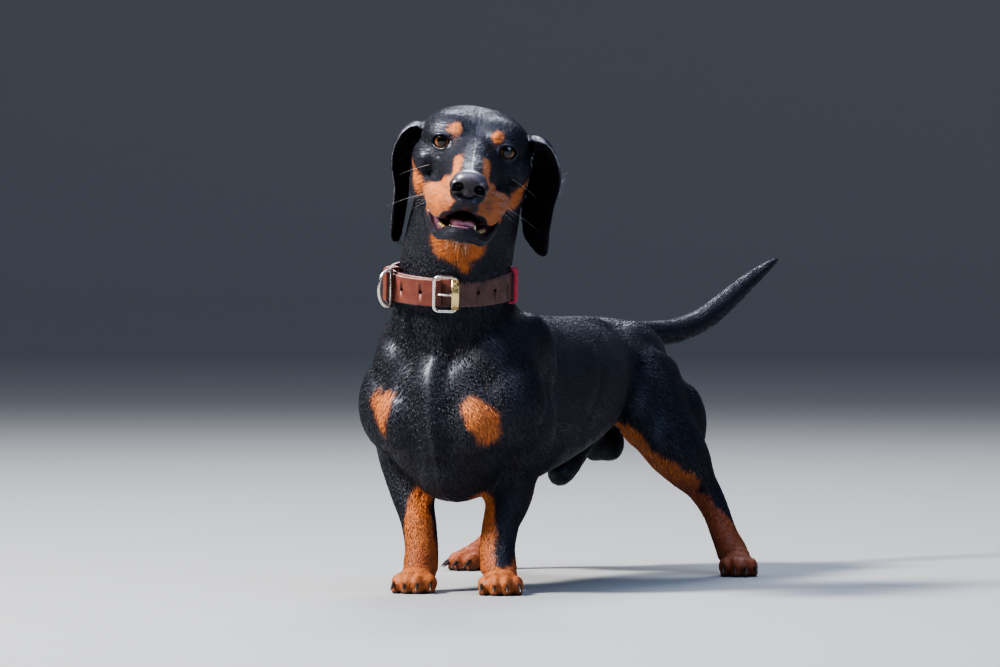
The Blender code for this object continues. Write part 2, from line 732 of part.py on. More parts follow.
# Each paw: where its sole's frame stands, how far the toes turn out and whether it is a hind one
PAWS = {
    "front_left": {"leg": "left", "at": (0.044, -0.158), "turn": 22, "hind": False},
    "front_right": {"leg": "right", "at": (-0.031, -0.158), "turn": 12, "hind": False},
    "hind_left": {"leg": "left", "at": (0.132, 0.182), "turn": 26, "hind": True},
    "hind_right": {"leg": "right", "at": (-0.111, 0.182), "turn": -26, "hind": True},
}
WRIST_HEIGHT, ANKLE_HEIGHT, FLOOR_DEPTH = 0.036, 0.034, 0.05


def make_paw(name):
    paw = PAWS[name]
    place = Matrix.Translation((*paw["at"], 0)) @ Matrix.Rotation(math.radians(paw["turn"]), 4, "Z")
    local = place @ Matrix.Scale(MM, 4)
    clay = Clay(local)
    paw_clay(clay, paw["hind"])
    leg = Clay()
    leg.limb(hindleg_stations(paw["leg"]) if paw["hind"] else FORELEGS[paw["leg"]])
    merged = bpy.data.meshes.new("leg_stub")
    leg.mesh.to_mesh(merged)
    leg.mesh.free()
    clay.mesh.from_mesh(merged)
    form = fused(name + "_form", clay, PAW_VOXEL, 4, PAW_TRIANGLES * 3)
    height = ANKLE_HEIGHT if paw["hind"] else WRIST_HEIGHT
    x, y = paw["at"]
    keep = block("paw_block", (x - 0.06, y - 0.08, 0), (x + 0.06, y + 0.06, height - GAP))
    boolean(form, keep, "INTERSECT")
    thin = form.modifiers.new("Thin", "DECIMATE")
    thin.ratio = min(1.0, PAW_TRIANGLES / sum(len(p.vertices) - 2 for p in form.data.polygons))
    settle(form)
    boolean(form, clay_object("claws", claw_clay(local, paw["hind"])), "UNION")
    boolean(form, block("floor", (x - 0.2, y - 0.2, -FLOOR_DEPTH), (x + 0.2, y + 0.2, 0)), "DIFFERENCE")
    return largest_piece(form)


def make_flesh():
    """Fuses the dog whole, then parts it with thin cuts into its nodes."""
    body = make_body()
    head = make_head()

    neck_low = frame_at((0, -0.150, 0.208), (0, -0.42, 0.90))
    neck_high = frame_at((0.016, -0.176, 0.322), (0.10, -0.42, 0.90))
    reach = 0.3
    above_low = block("neck_region", (-reach, -0.16, 0), (reach, 0.10, reach), neck_low)
    above_low_grown = block("neck_region_grown", (-reach, -0.16, -GAP), (reach, 0.10, reach), neck_low)
    above_high_grown = block("head_region_grown", (-reach, -reach, -GAP), (reach, reach, reach), neck_high)
    above_high = block("head_region", (-reach, -reach, 0), (reach, reach, reach), neck_high)

    neck = copy_of(body, "neck_form", HELPERS)
    boolean(neck, above_low, "INTERSECT")
    boolean(neck, above_high_grown, "DIFFERENCE")
    node("neck", largest_piece(neck), COAT)
    boolean(body, above_low_grown, "DIFFERENCE")

    tail_along = (math.sin(TAIL_SWING), math.cos(TAIL_SWING), 0.1)
    tail_frame = frame_at(TAIL_ROOT + Vector((0.0, 0.012, 0.0)), tail_along, (0, 0, -1))
    tail = copy_of(body, "tail_form", HELPERS)
    boolean(tail, block("tail_region", (-0.03, -0.019, 0), (0.03, 0.2, 0.4), tail_frame), "INTERSECT")
    node("tail", largest_piece(tail), COAT)
    grown_region = block("tail_region_grown", (-0.03, -0.019 - GAP, -GAP), (0.03, 0.2, 0.4), tail_frame)
    boolean(body, grown_region, "DIFFERENCE")

    for side, sign in SIGNS.items():
        x, y, z = FORELEGS[side][1][:3]
        arm = frame_at((x, y, z - 0.004), (sign * 0.25, 0.12, 1.0))
        low, high = (-0.024, -0.05, -0.2), (0.09, 0.05, 0)
        if sign < 0:
            low, high = (-0.09, -0.05, -0.2), (0.024, 0.05, 0)
        wider_low = (low[0] - GAP, low[1] - GAP, low[2])
        wider_high = (high[0] + GAP, high[1] + GAP, high[2] + GAP)
        leg = copy_of(body, f"foreleg_{side}_form", HELPERS)
        boolean(leg, block("foreleg_region", low, high, arm), "INTERSECT")
        boolean(leg, block("wrist", (-1, -1, -1), (1, 1, WRIST_HEIGHT)), "DIFFERENCE")
        node(f"foreleg_{side}", largest_piece(leg), COAT)
        boolean(body, block("foreleg_region_grown", wider_low, wider_high, arm), "DIFFERENCE")

    for side, sign in SIGNS.items():
        hip = frame_at((0.008 + sign * 0.030, 0.160, 0.190), (-sign * 0.30, 0.0, 1.0))
        low, high = (0.0, -0.075, -0.3), (0.2, 0.12, 0)
        if sign < 0:
            low, high = (-0.2, -0.075, -0.3), (0.0, 0.12, 0)
        wider_low = (low[0] - GAP, low[1] - GAP, low[2])
        wider_high = (high[0] + GAP, high[1] + GAP, high[2] + GAP)
        leg = copy_of(body, f"hindleg_{side}_form", HELPERS)
        boolean(leg, block("hindleg_region", low, high, hip), "INTERSECT")
        boolean(leg, block("ankle", (-1, -1, -1), (1, 1, ANKLE_HEIGHT)), "DIFFERENCE")
        node(f"hindleg_{side}", largest_piece(leg), COAT)
        boolean(body, block("hindleg_region_grown", wider_low, wider_high, hip), "DIFFERENCE")
    node("torso", largest_piece(body), COAT)

    for name in PAWS:
        node(f"paw_{name}", make_paw(name), TAN)
    return head, above_high, neck


def make_face(head, above_high, neck):
    """Parts the head from the neck, opens mouth, eyes and nose, and makes what sits in them."""
    boolean(head, above_high, "INTERSECT")
    for sign, side in ((1, "left"), (-1, "right")):
        boolean(head, eye_opening(sign), "DIFFERENCE")
        boolean(head, eyeball(sign, EYE_RADIUS + GAP / MM, "eye_seat"), "DIFFERENCE")
        node(f"eye_{side}", eyeball(sign, EYE_RADIUS, "eyeball"), EYE)
    nose = make_nose()
    boolean(head, grown(nose, GAP), "DIFFERENCE")
    for sign in (-1, 1):
        boolean(nose, nostril_cutter(sign), "DIFFERENCE", True)
    largest_piece(nose)
    opening = boolean(mouth_hollow(), mouth_cutter(), "UNION")
    largest_piece(boolean(head, opening, "DIFFERENCE"))
    jaw = copy_of(head, "jaw_form", HELPERS)
    region = jaw_region()
    boolean(jaw, region, "INTERSECT")
    largest_piece(jaw)
    boolean(head, grown(region, GAP), "DIFFERENCE")
    largest_piece(head)
    boolean(jaw, clay_object("tongue_bed", tongue_clay(0.3)), "DIFFERENCE")
    teeth = lower_teeth()
    join_all(jaw, teeth)
    node("jaw", largest_piece(jaw), COAT)
    node("nose", nose, LEATHERY)
    tongue = clay_object("tongue_form", tongue_clay(0.0))
    node("tongue", tongue, PINK)
    cutters = grown(head, GAP), grown(neck, GAP)
    for side in SIGNS:
        ear = make_ear(side)
        for cutter in cutters:
            boolean(ear, cutter, "DIFFERENCE")
        node(f"ear_{side}", largest_piece(ear), COAT)
    node("head", head, COAT)


def join_all(obj, clay):
    """Fuses many closed lumps into the object by one union on a collection."""
    parts = clay_object("lumps", clay)
    bpy.context.view_layer.update()
    group = collection("to_join")
    bm = bmesh.new()
    bm.from_mesh(parts.data)
    islands, unseen = [], set(bm.faces)
    while unseen:
        stack, island = [unseen.pop()], []
        while stack:
            face = stack.pop()
            island.append(face)
            for edge in face.edges:
                for other in edge.link_faces:
                    if other in unseen:
                        unseen.remove(other)
                        stack.append(other)
        islands.append(island)
    for island in islands:
        piece = bmesh.new()
        twins = {}
        for face in island:
            for vertex in face.verts:
                if vertex not in twins:
                    twins[vertex] = piece.verts.new(vertex.co)
            piece.faces.new([twins[vertex] for vertex in face.verts])
        object_from("lump", mesh_from("lump", piece), group)
    bm.free()
    union = obj.modifiers.new("Join", "BOOLEAN")
    union.operation, union.operand_type, union.collection = "UNION", "COLLECTION", group
    union.solver = "EXACT"
    settle(obj)
    for piece in list(group.objects):
        bpy.data.objects.remove(piece)
    bpy.data.collections.remove(group)
    return obj


def make_nose():
    return fused("nose_form", nose_clay(), 0.0009, 3, NOSE_TRIANGLES)


# The collar's frame has the strap's centre line in its XY plane and the front of the neck at -Y
def collar_point(angle, radius, height):
    """Angle 0 is the front of the neck and grows towards the dog's left."""
    return Vector((radius * math.sin(angle), -radius * COLLAR_SQUASH * math.cos(angle), height))


def strap_clay(start, stop, inner, steps, width, thick):
    """A band round the neck from one angle to another. inner(share) gives its inner radius along the way."""
    clay = Clay(COLLAR)
    closed = abs(stop - start) >= 2 * math.pi - 1e-6
    rings = []
    edge = min(STRAP_EDGE, thick * 0.35)
    for k in range(steps + (0 if closed else 1)):
        share = k / steps
        angle = start + (stop - start) * share
        radius = inner(share)
        half = width / 2
        rings.append([
            collar_point(angle, radius + r, h)
            for r, h in ((0, -half + edge), (edge, -half), (thick - edge, -half), (thick, -half + edge),
                         (thick, half - edge), (thick - edge, half), (edge, half), (0, half - edge))
        ])
    if closed:
        made = [[clay.mesh.verts.new(clay.matrix @ p) for p in ring] for ring in rings]
        for i, low in enumerate(made):
            high = made[(i + 1) % len(made)]
            for k in range(8):
                clay.mesh.faces.new((low[k], low[(k + 1) % 8], high[(k + 1) % 8], high[k]))
    else:
        clay.loft(rings)
    return clay


def strap(name, start, stop, inner, look, steps=36, width=STRAP_WIDTH):
    return node(name, clay_object(name, strap_clay(start, stop, inner, steps, width, STRAP_THICK)), look)


def wire(name, points, radius, cyclic, look, resolution=2):
    """A bent wire through the points, as a curve turned into a mesh."""
    curve = bpy.data.curves.new(name, "CURVE")
    curve.dimensions, curve.bevel_depth, curve.bevel_resolution = "3D", radius, resolution
    curve.use_fill_caps = not cyclic
    spline = curve.splines.new("POLY")
    spline.points.add(len(points) - 1)
    for point, at in zip(spline.points, points):
        point.co = (*at, 1)
    spline.use_cyclic_u = cyclic
    guide = object_from(name + "_curve", curve, HELPERS)
    bpy.context.view_layer.update()
    mesh = bpy.data.meshes.new_from_object(guide.evaluated_get(bpy.context.evaluated_depsgraph_get()))
    bm = bmesh.new()
    bm.from_mesh(mesh)
    bmesh.ops.remove_doubles(bm, verts=bm.verts, dist=1e-5)
    bpy.data.objects.remove(guide)
    made = object_from(name, mesh_from(name, bm), HELPERS)
    return node(name, made, look)


BUCKLE_ANGLE = math.radians(16)
TONGUE_REACH = math.radians(88)
RING_ANGLE = BUCKLE_ANGLE - math.radians(50)
KEEPER_ANGLE = RING_ANGLE - math.radians(9)
CORD_ANGLE = math.radians(98)


def rounded_rectangle(half_x, half_z, corner, steps=3):
    points = []
    for sx, sz, begin in ((1, 1, 0), (-1, 1, 90), (-1, -1, 180), (1, -1, 270)):
        for k in range(steps + 1):
            angle = math.radians(begin + 90 * k / steps)
            points.append((sx * (half_x - corner) + corner * math.cos(angle),
                           sz * (half_z - corner) + corner * math.sin(angle)))
    return points


def collar_at(angle, along, out, height):
    """A point beside the strap: along it from an angle, out from its inner face and up its width."""
    tangent = Vector((math.cos(angle), COLLAR_SQUASH * math.sin(angle), 0))
    return collar_point(angle, COLLAR_RADIUS + out, height) + tangent * along


def on_strap(angle, along, out, height):
    return COLLAR @ collar_at(angle, along, out, height)


def make_collar(neck):
    strap("collar_strap", 0, 2 * math.pi, lambda share: COLLAR_RADIUS, TANNED)

    def outer(share):
        bulge = TONGUE_BULGE * math.sin(math.pi * min(1.0, share * 1.1)) ** 2
        return COLLAR_RADIUS + STRAP_THICK + TONGUE_LIFT + bulge

    start, stop = BUCKLE_ANGLE - math.radians(3), BUCKLE_ANGLE - TONGUE_REACH
    strap("collar_tongue", start, stop, outer, TANNED, 18, TONGUE_WIDTH)
    bow = rounded_rectangle(BUCKLE_HALF_LENGTH, BUCKLE_HALF_HEIGHT, BUCKLE_CORNER)
    bow = [on_strap(BUCKLE_ANGLE, x + MM, BUCKLE_OUT, z) for x, z in bow]
    wire("collar_buckle", bow, WIRE_RADIUS, True, METAL)
    wire("collar_pin", [on_strap(BUCKLE_ANGLE, x, out, 0.0) for x, out in PIN_PATH], PIN_RADIUS, False, METAL)
    ring = []
    for turn in np.linspace(0, math.pi, 18):
        out = RING_OUT + RING_REACH * math.sin(turn) ** 0.8
        ring.append(on_strap(RING_ANGLE, -0.0005, out, RING_HALF_HEIGHT * math.cos(turn)))
    wire("collar_ring", ring, WIRE_RADIUS, True, METAL)

    # The keeper, a narrow loop of leather round both layers of the strap
    clay = Clay(COLLAR)
    centre = STRAP_THICK + KEEPER_ROOM_OUT / 2
    inside, outside = (
        rounded_rectangle(STRAP_THICK + KEEPER_ROOM_OUT + margin, STRAP_WIDTH / 2 + KEEPER_ROOM_UP + margin,
                          KEEPER_CORNER + margin)
        for margin in (0.0, KEEPER_THICK)
    )
    walls = ((-KEEPER_HALF_LENGTH, inside), (-KEEPER_HALF_LENGTH, outside),
             (KEEPER_HALF_LENGTH, outside), (KEEPER_HALF_LENGTH, inside))
    edges = [[collar_at(KEEPER_ANGLE, along, centre + out, up + KEEPER_RISE) for out, up in loop]
             for along, loop in walls]
    made = [[clay.mesh.verts.new(clay.matrix @ point) for point in edge] for edge in edges]
    for i, low in enumerate(made):
        high = made[(i + 1) % len(made)]
        for k in range(len(low)):
            j = (k + 1) % len(low)
            clay.mesh.faces.new((low[k], low[j], high[j], high[k]))
    node("collar_keeper", clay_object("collar_keeper", clay), TANNED)

    # A thin cord wound round the strap on the dog's left
    spare = CORD_RADIUS + 3 * GAP
    outline = rounded_rectangle(STRAP_THICK / 2 + spare, STRAP_WIDTH / 2 + spare, CORD_CORNER)
    count = int(len(outline) * CORD_TURNS)
    wound = []
    for k in range(count + 1):
        out, up = outline[k % len(outline)]
        along = CORD_PITCH * (k / count - 0.5) * CORD_TURNS
        wound.append(on_strap(CORD_ANGLE, along, out + STRAP_THICK / 2, up))
    wire("collar_cord", wound, CORD_RADIUS, False, CORD)

    # The coat is pressed in a little under the collar
    band = strap_clay(0, 2 * math.pi, lambda share: COLLAR_RADIUS - GAP, 24, STRAP_WIDTH + 4 * GAP,
                      STRAP_THICK + 2 * MM)
    boolean(neck, clay_object("collar_bed", band), "DIFFERENCE")
    reach, depth = 0.14, 2 * CORD_RADIUS + 5 * GAP
    for angle in (CORD_ANGLE, KEEPER_ANGLE):
        spot = strap_clay(angle - reach, angle + reach, lambda share: COLLAR_RADIUS - depth, 3,
                          STRAP_WIDTH + 2.2 * depth, STRAP_THICK + 2 * depth)
        boolean(neck, clay_object("loop_bed", spot), "DIFFERENCE")
    largest_piece(neck)


def stand_at_origin():
    """Moves the whole dog so that the centre of its bounding box's base is the origin."""
    points = [vertex.co for obj in DOG.objects for vertex in obj.data.vertices]
    middle = [(min(p[axis] for p in points) + max(p[axis] for p in points)) / 2 for axis in (0, 1)]
    for obj in DOG.objects:
        obj.data.transform(Matrix.Translation((-middle[0], -middle[1], 0)))


def clear_scene():
    for obj in list(bpy.data.objects):
        bpy.data.objects.remove(obj)


clear_scene()
DOG = collection("dachshund")
HELPERS = collection("cutters")
HEAD = head_matrix()
COLLAR = frame_at(COLLAR_CENTRE, COLLAR_AXIS)
COAT = material("black_coat", (0.012, 0.012, 0.016), 0.38)
TAN = material("tan_coat", (0.42, 0.13, 0.03), 0.55)
EYE = material("eye", (0.20, 0.09, 0.02), 0.08)
LEATHERY = material("nose_leather", (0.03, 0.028, 0.032), 0.35)
PINK = material("tongue", (0.52, 0.20, 0.24), 0.35)
TANNED = material("collar_leather", (0.20, 0.055, 0.030), 0.45)
CORD = material("collar_cord", (0.60, 0.04, 0.08), 0.7)
METAL = material("collar_metal", (0.78, 0.74, 0.62), 0.25, 1.0)


def main():
    head, above_high, neck = make_flesh()
    make_face(head, above_high, neck)
    make_collar(neck)
    for helper in list(HELPERS.objects):
        bpy.data.objects.remove(helper)
    bpy.data.collections.remove(HELPERS)
    stand_at_origin()


main()
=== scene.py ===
"""The looks of a standing smooth-haired dachshund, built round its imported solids.

The work is done in the solids' own working frame, in metres, and every piece is moved into place at the end.
The head has a frame of its own in millimetres, with its origin between the eyes, the nose towards -Y and the
dog's left at +X.
"""

import math

import bmesh
import bpy
import numpy as np
from mathutils import Euler, Matrix, Vector
from mathutils.bvhtree import BVHTree


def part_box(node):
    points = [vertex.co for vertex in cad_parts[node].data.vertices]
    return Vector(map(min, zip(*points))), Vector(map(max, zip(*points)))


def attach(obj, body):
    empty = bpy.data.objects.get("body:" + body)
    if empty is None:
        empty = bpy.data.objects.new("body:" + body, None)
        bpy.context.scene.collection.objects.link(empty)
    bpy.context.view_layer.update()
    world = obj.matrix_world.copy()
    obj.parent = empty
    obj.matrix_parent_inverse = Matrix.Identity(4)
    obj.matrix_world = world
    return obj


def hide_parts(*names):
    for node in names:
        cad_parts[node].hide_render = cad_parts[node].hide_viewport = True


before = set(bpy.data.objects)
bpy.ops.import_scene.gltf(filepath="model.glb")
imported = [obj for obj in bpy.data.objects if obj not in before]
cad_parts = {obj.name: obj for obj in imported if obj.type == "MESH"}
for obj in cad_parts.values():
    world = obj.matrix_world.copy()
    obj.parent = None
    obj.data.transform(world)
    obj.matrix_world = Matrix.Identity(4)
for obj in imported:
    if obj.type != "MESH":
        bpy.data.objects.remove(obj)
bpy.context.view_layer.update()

MM = 0.001
SEED = 11
SIGNS = {"left": 1, "right": -1}
FLESH = ["torso", "neck", "head", "jaw", "tail"] + [
    part + "_" + side for part in ("ear", "foreleg", "hindleg", "paw_front", "paw_hind") for side in SIGNS
]

# Driving sizes of the dog
HEAD_ANCHOR = Vector((0.0520, -0.2354, 0.3777))
HEAD_YAW, HEAD_PITCH, HEAD_ROLL = math.radians(22), math.radians(5.5), math.radians(9.6)
EYE_RADIUS = 10.4
EYE_CENTRE = (25.5, 14.0, 0.0)
TAIL_SWING = math.radians(22)
COAT_DEPTH = 0.0006

# Torso from the forechest to the buttocks: y, middle x, height of the widest line, half width, top, bottom
TORSO = (
    (-0.208, 0.000, 0.160, 0.022, 0.182, 0.136),
    (-0.198, 0.000, 0.158, 0.044, 0.200, 0.112),
    (-0.175, 0.000, 0.158, 0.058, 0.220, 0.090),
    (-0.140, 0.000, 0.160, 0.064, 0.234, 0.081),
    (-0.095, 0.000, 0.164, 0.066, 0.240, 0.081),
    (-0.040, 0.001, 0.166, 0.069, 0.237, 0.088),
    (0.015, 0.002, 0.168, 0.071, 0.233, 0.100),
    (0.065, 0.004, 0.171, 0.067, 0.231, 0.113),
    (0.105, 0.005, 0.176, 0.057, 0.230, 0.125),
    (0.145, 0.006, 0.178, 0.053, 0.230, 0.132),
    (0.180, 0.007, 0.175, 0.055, 0.228, 0.130),
    (0.212, 0.007, 0.172, 0.049, 0.220, 0.130),
    (0.234, 0.007, 0.172, 0.034, 0.208, 0.136),
    (0.246, 0.007, 0.172, 0.016, 0.192, 0.150),
)

# Neck stations from the shoulders to the skull: x, y, z, half width, half depth
NECK = (
    (0.000, -0.105, 0.172, 0.060, 0.066),
    (0.000, -0.132, 0.200, 0.062, 0.064),
    (0.000, -0.153, 0.230, 0.055, 0.054),
    (0.004, -0.166, 0.262, 0.0485, 0.049),
    (0.0135, -0.175, 0.296, 0.0470, 0.046),
    (0.0245, -0.182, 0.332, 0.0450, 0.045),
    (0.030, -0.186, 0.356, 0.040, 0.040),
)

# Tail stations: distance from the root, height above it, radius
TAIL = (
    (-0.045, -0.016, 0.0150),
    (-0.010, -0.001, 0.0125),
    (0.030, 0.003, 0.0108),
    (0.070, 0.004, 0.0105),
    (0.109, 0.014, 0.0102),
    (0.142, 0.031, 0.0094),
    (0.175, 0.050, 0.0074),
    (0.200, 0.063, 0.0048),
    (0.216, 0.071, 0.0022),
)
TAIL_ROOT = Vector((0.006, 0.224, 0.209))

# Foreleg of each side: elbow to wrist and paw, as x, y, z, radius across, radius fore and aft
FORELEGS = {
    "left": (
        (0.058, -0.128, 0.158, 0.024, 0.034),
        (0.048, -0.124, 0.120, 0.021, 0.024),
        (0.043, -0.132, 0.088, 0.0185, 0.021),
        (0.038, -0.142, 0.060, 0.0160, 0.0165),
        (0.037, -0.148, 0.038, 0.0155, 0.0155),
        (0.041, -0.154, 0.018, 0.0160, 0.0165),
    ),
    "right": (
        (-0.060, -0.128, 0.158, 0.024, 0.034),
        (-0.060, -0.124, 0.120, 0.022, 0.028),
        (-0.049, -0.134, 0.088, 0.0190, 0.021),
        (-0.037, -0.144, 0.060, 0.0155, 0.0165),
        (-0.032, -0.149, 0.038, 0.0145, 0.0155),
        (-0.031, -0.154, 0.018, 0.0155, 0.0165),
    ),
}

# Hind leg for a spread of 1, from the hip to the foot; the two sides spread by their own measure
HINDLEG = (
    (0.034, 0.178, 0.182, 0.034, 0.046),
    (0.048, 0.166, 0.152, 0.032, 0.046),
    (0.066, 0.160, 0.124, 0.027, 0.037),
    (0.081, 0.172, 0.100, 0.0215, 0.0290),
    (0.089, 0.190, 0.078, 0.0135, 0.0180),
    (0.097, 0.198, 0.060, 0.0125, 0.0152),
    (0.109, 0.192, 0.036, 0.0122, 0.0142),
    (0.120, 0.186, 0.018, 0.0145, 0.0160),
)
HIND_SPREAD = {"left": 1.0, "right": -0.95}

# Muzzle and lower jaw stations in the head's frame: y, x, height of the widest line, half width, top, bottom
MUZZLE = (
    (34, 0, -24, 38.0, 17, -52),
    (14, 0, -26, 33.0, 12, -52),
    (-6, 0, -28, 27.0, 5, -52),
    (-26, 0, -32, 23.5, -2, -52),
    (-48, 0, -34, 21.0, -7, -52),
    (-68, 0, -34, 18.0, -10, -50),
    (-80, 0, -32, 14.5, -12, -46),
    (-87, 0, -31, 9.0, -15, -43),
)
JAW = (
    (26, 0, -54, 30.0, -42, -75),
    (2, 0, -57, 28.5, -44, -76),
    (-20, 0, -60, 25.0, -48, -76),
    (-44, 0, -64, 20.5, -52, -76),
    (-64, 0, -65, 16.0, -54, -75),
    (-76, 0, -65, 12.5, -55, -73),
    (-82, 0, -64, 7.0, -57, -69),
)

# Rolls of the upper and lower lip on one side, from the cheek forward: x, y, z, radius across and in height
UPPER_LIP = (
    (26, 20, -34, 5, 6),
    (31, 0, -39, 6.5, 9),
    (29, -20, -42, 6.5, 11),
    (25.5, -38, -45.5, 6, 13),
    (20, -56, -46, 6, 13),
    (13.5, -73, -43, 6.5, 10),
    (6, -82, -39, 6, 8),
    (0, -84, -37, 5, 7),
)
LOWER_LIP = (
    (20, 6, -56, 4, 5),
    (28, -10, -57, 5, 7),
    (27, -24, -63, 4, 6.5),
    (23, -38, -69, 4, 5.5),
    (19, -50, -72, 4.2, 5),
    (14.5, -64, -70, 4.5, 5.5),
    (8, -75, -65.5, 4.5, 6.5),
    (0, -79, -64, 4.5, 6.5),
)

# The open mouth from its corner to the front: y, upper lip's edge, lower lip's edge
MOUTH = (
    (-18, -46.0, -48.0),
    (-25, -50.0, -57.0),
    (-35, -56.0, -63.5),
    (-49, -58.5, -67.0),
    (-62, -57.0, -65.5),
    (-74, -51.0, -60.5),
    (-85, -47.0, -58.0),
    (-98, -46.0, -58.0),
)

# Each ear's leather from the fold to the tip: front edge and back edge as x, y, z, with x away from the head
EARS = {
    "left": (
        ((28, 38, 0), (28, 68, -6)),
        ((43, 34, 8), (42, 74, 0)),
        ((57, 30, 10), (48, 80, -1)),
        ((69, 29, 1), (49, 86, -12)),
        ((77, 33, -18), (48, 89, -32)),
        ((75, 40, -43), (48, 88, -54)),
        ((76, 49, -67), (54, 81, -75)),
        ((79, 58, -88), (67, 73, -90)),
    ),
    "right": (
        ((28, 38, -2), (28, 68, -8)),
        ((44, 34, 5), (42, 74, -3)),
        ((57, 30, 4), (47, 80, -6)),
        ((65, 31, -10), (48, 86, -20)),
        ((66, 36, -28), (48, 89, -38)),
        ((60, 42, -50), (47, 88, -58)),
        ((59, 50, -76), (47, 84, -83)),
        ((58, 57, -96), (47, 78, -99)),
    ),
}
EAR_THICK, EAR_CUP, EAR_COLUMNS = 3.4, 7.0, 12

# Each paw: where its sole's frame stands, how far the toes turn out and whether it is a hind one
PAWS = {
    "front_left": ((0.044, -0.158), 22, False),
    "front_right": ((-0.031, -0.158), 12, False),
    "hind_left": ((0.132, 0.182), 26, True),
    "hind_right": ((-0.111, 0.182), -26, True),
}

# Driving sizes of the collar
COLLAR_CENTRE = Vector((0.002, -0.164, 0.264))
COLLAR_AXIS = Vector((0.075, -0.150, 0.985)).normalized()
STRAP_WIDTH, STRAP_THICK, STRAP_EDGE = 0.024, 0.0034, 0.0011
COLLAR_RADIUS = 0.0500


def catmull_rom(rows, steps):
    """Points on a smooth curve through the rows, steps to each stretch, for any number of columns."""
    rows = np.array(rows, float)
    padded = np.vstack([2 * rows[0] - rows[1], rows, 2 * rows[-1] - rows[-2]])
    found = []
    for i in range(1, len(padded) - 2):
        a, b, c, d = padded[i - 1 : i + 3]
        square, cube = 2 * a - 5 * b + 4 * c - d, 3 * b - a - 3 * c + d
        for t in np.linspace(0, 1, steps, endpoint=False):
            found.append(0.5 * (2 * b + (c - a) * t + square * t**2 + cube * t**3))
    found.append(rows[-1])
    return np.array(found)


def power_of(value, exponent):
    return math.copysign(abs(value) ** exponent, value)


def frame_at(origin, up, forward=(0, -1, 0)):
    """A matrix whose Z is up and whose -Y leans to forward, at the origin."""
    z = Vector(up).normalized()
    y = (-Vector(forward) + z * z.dot(Vector(forward))).normalized()
    x = y.cross(z)
    return Matrix.Translation(Vector(origin)) @ Matrix((x, y, z)).transposed().to_4x4()


def smoothstep(low, high, value):
    share = np.clip((value - low) / (high - low), 0.0, 1.0)
    return share * share * (3 - 2 * share)


HEAD = (
    Matrix.Translation(HEAD_ANCHOR)
    @ Matrix.Rotation(HEAD_YAW, 4, "Z")
    @ Matrix.Rotation(HEAD_PITCH, 4, "X")
    @ Matrix.Rotation(HEAD_ROLL, 4, "Y")
    @ Matrix.Scale(MM, 4)
)
HEAD_INVERSE = np.array(HEAD.inverted())
COLLAR = frame_at(COLLAR_CENTRE, COLLAR_AXIS)
EYE_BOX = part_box("eye_left")
SHIFT = (EYE_BOX[0] + EYE_BOX[1]) / 2 - HEAD @ Vector(EYE_CENTRE)


def placed(matrix, points):
    """Points, an array of rows, moved by a matrix."""
    matrix = np.array(matrix)
    return points @ matrix[:3, :3].T + matrix[:3, 3]


def in_head(points):
    """Working points, an array of rows, in the head's frame in millimetres."""
    return placed(HEAD_INVERSE, points)


def circle(count):
    """Cosine and sine of even steps round a circle."""
    return [(math.cos(2 * math.pi * k / count), math.sin(2 * math.pi * k / count)) for k in range(count)]


# Geometry helpers

POLE = 0.004


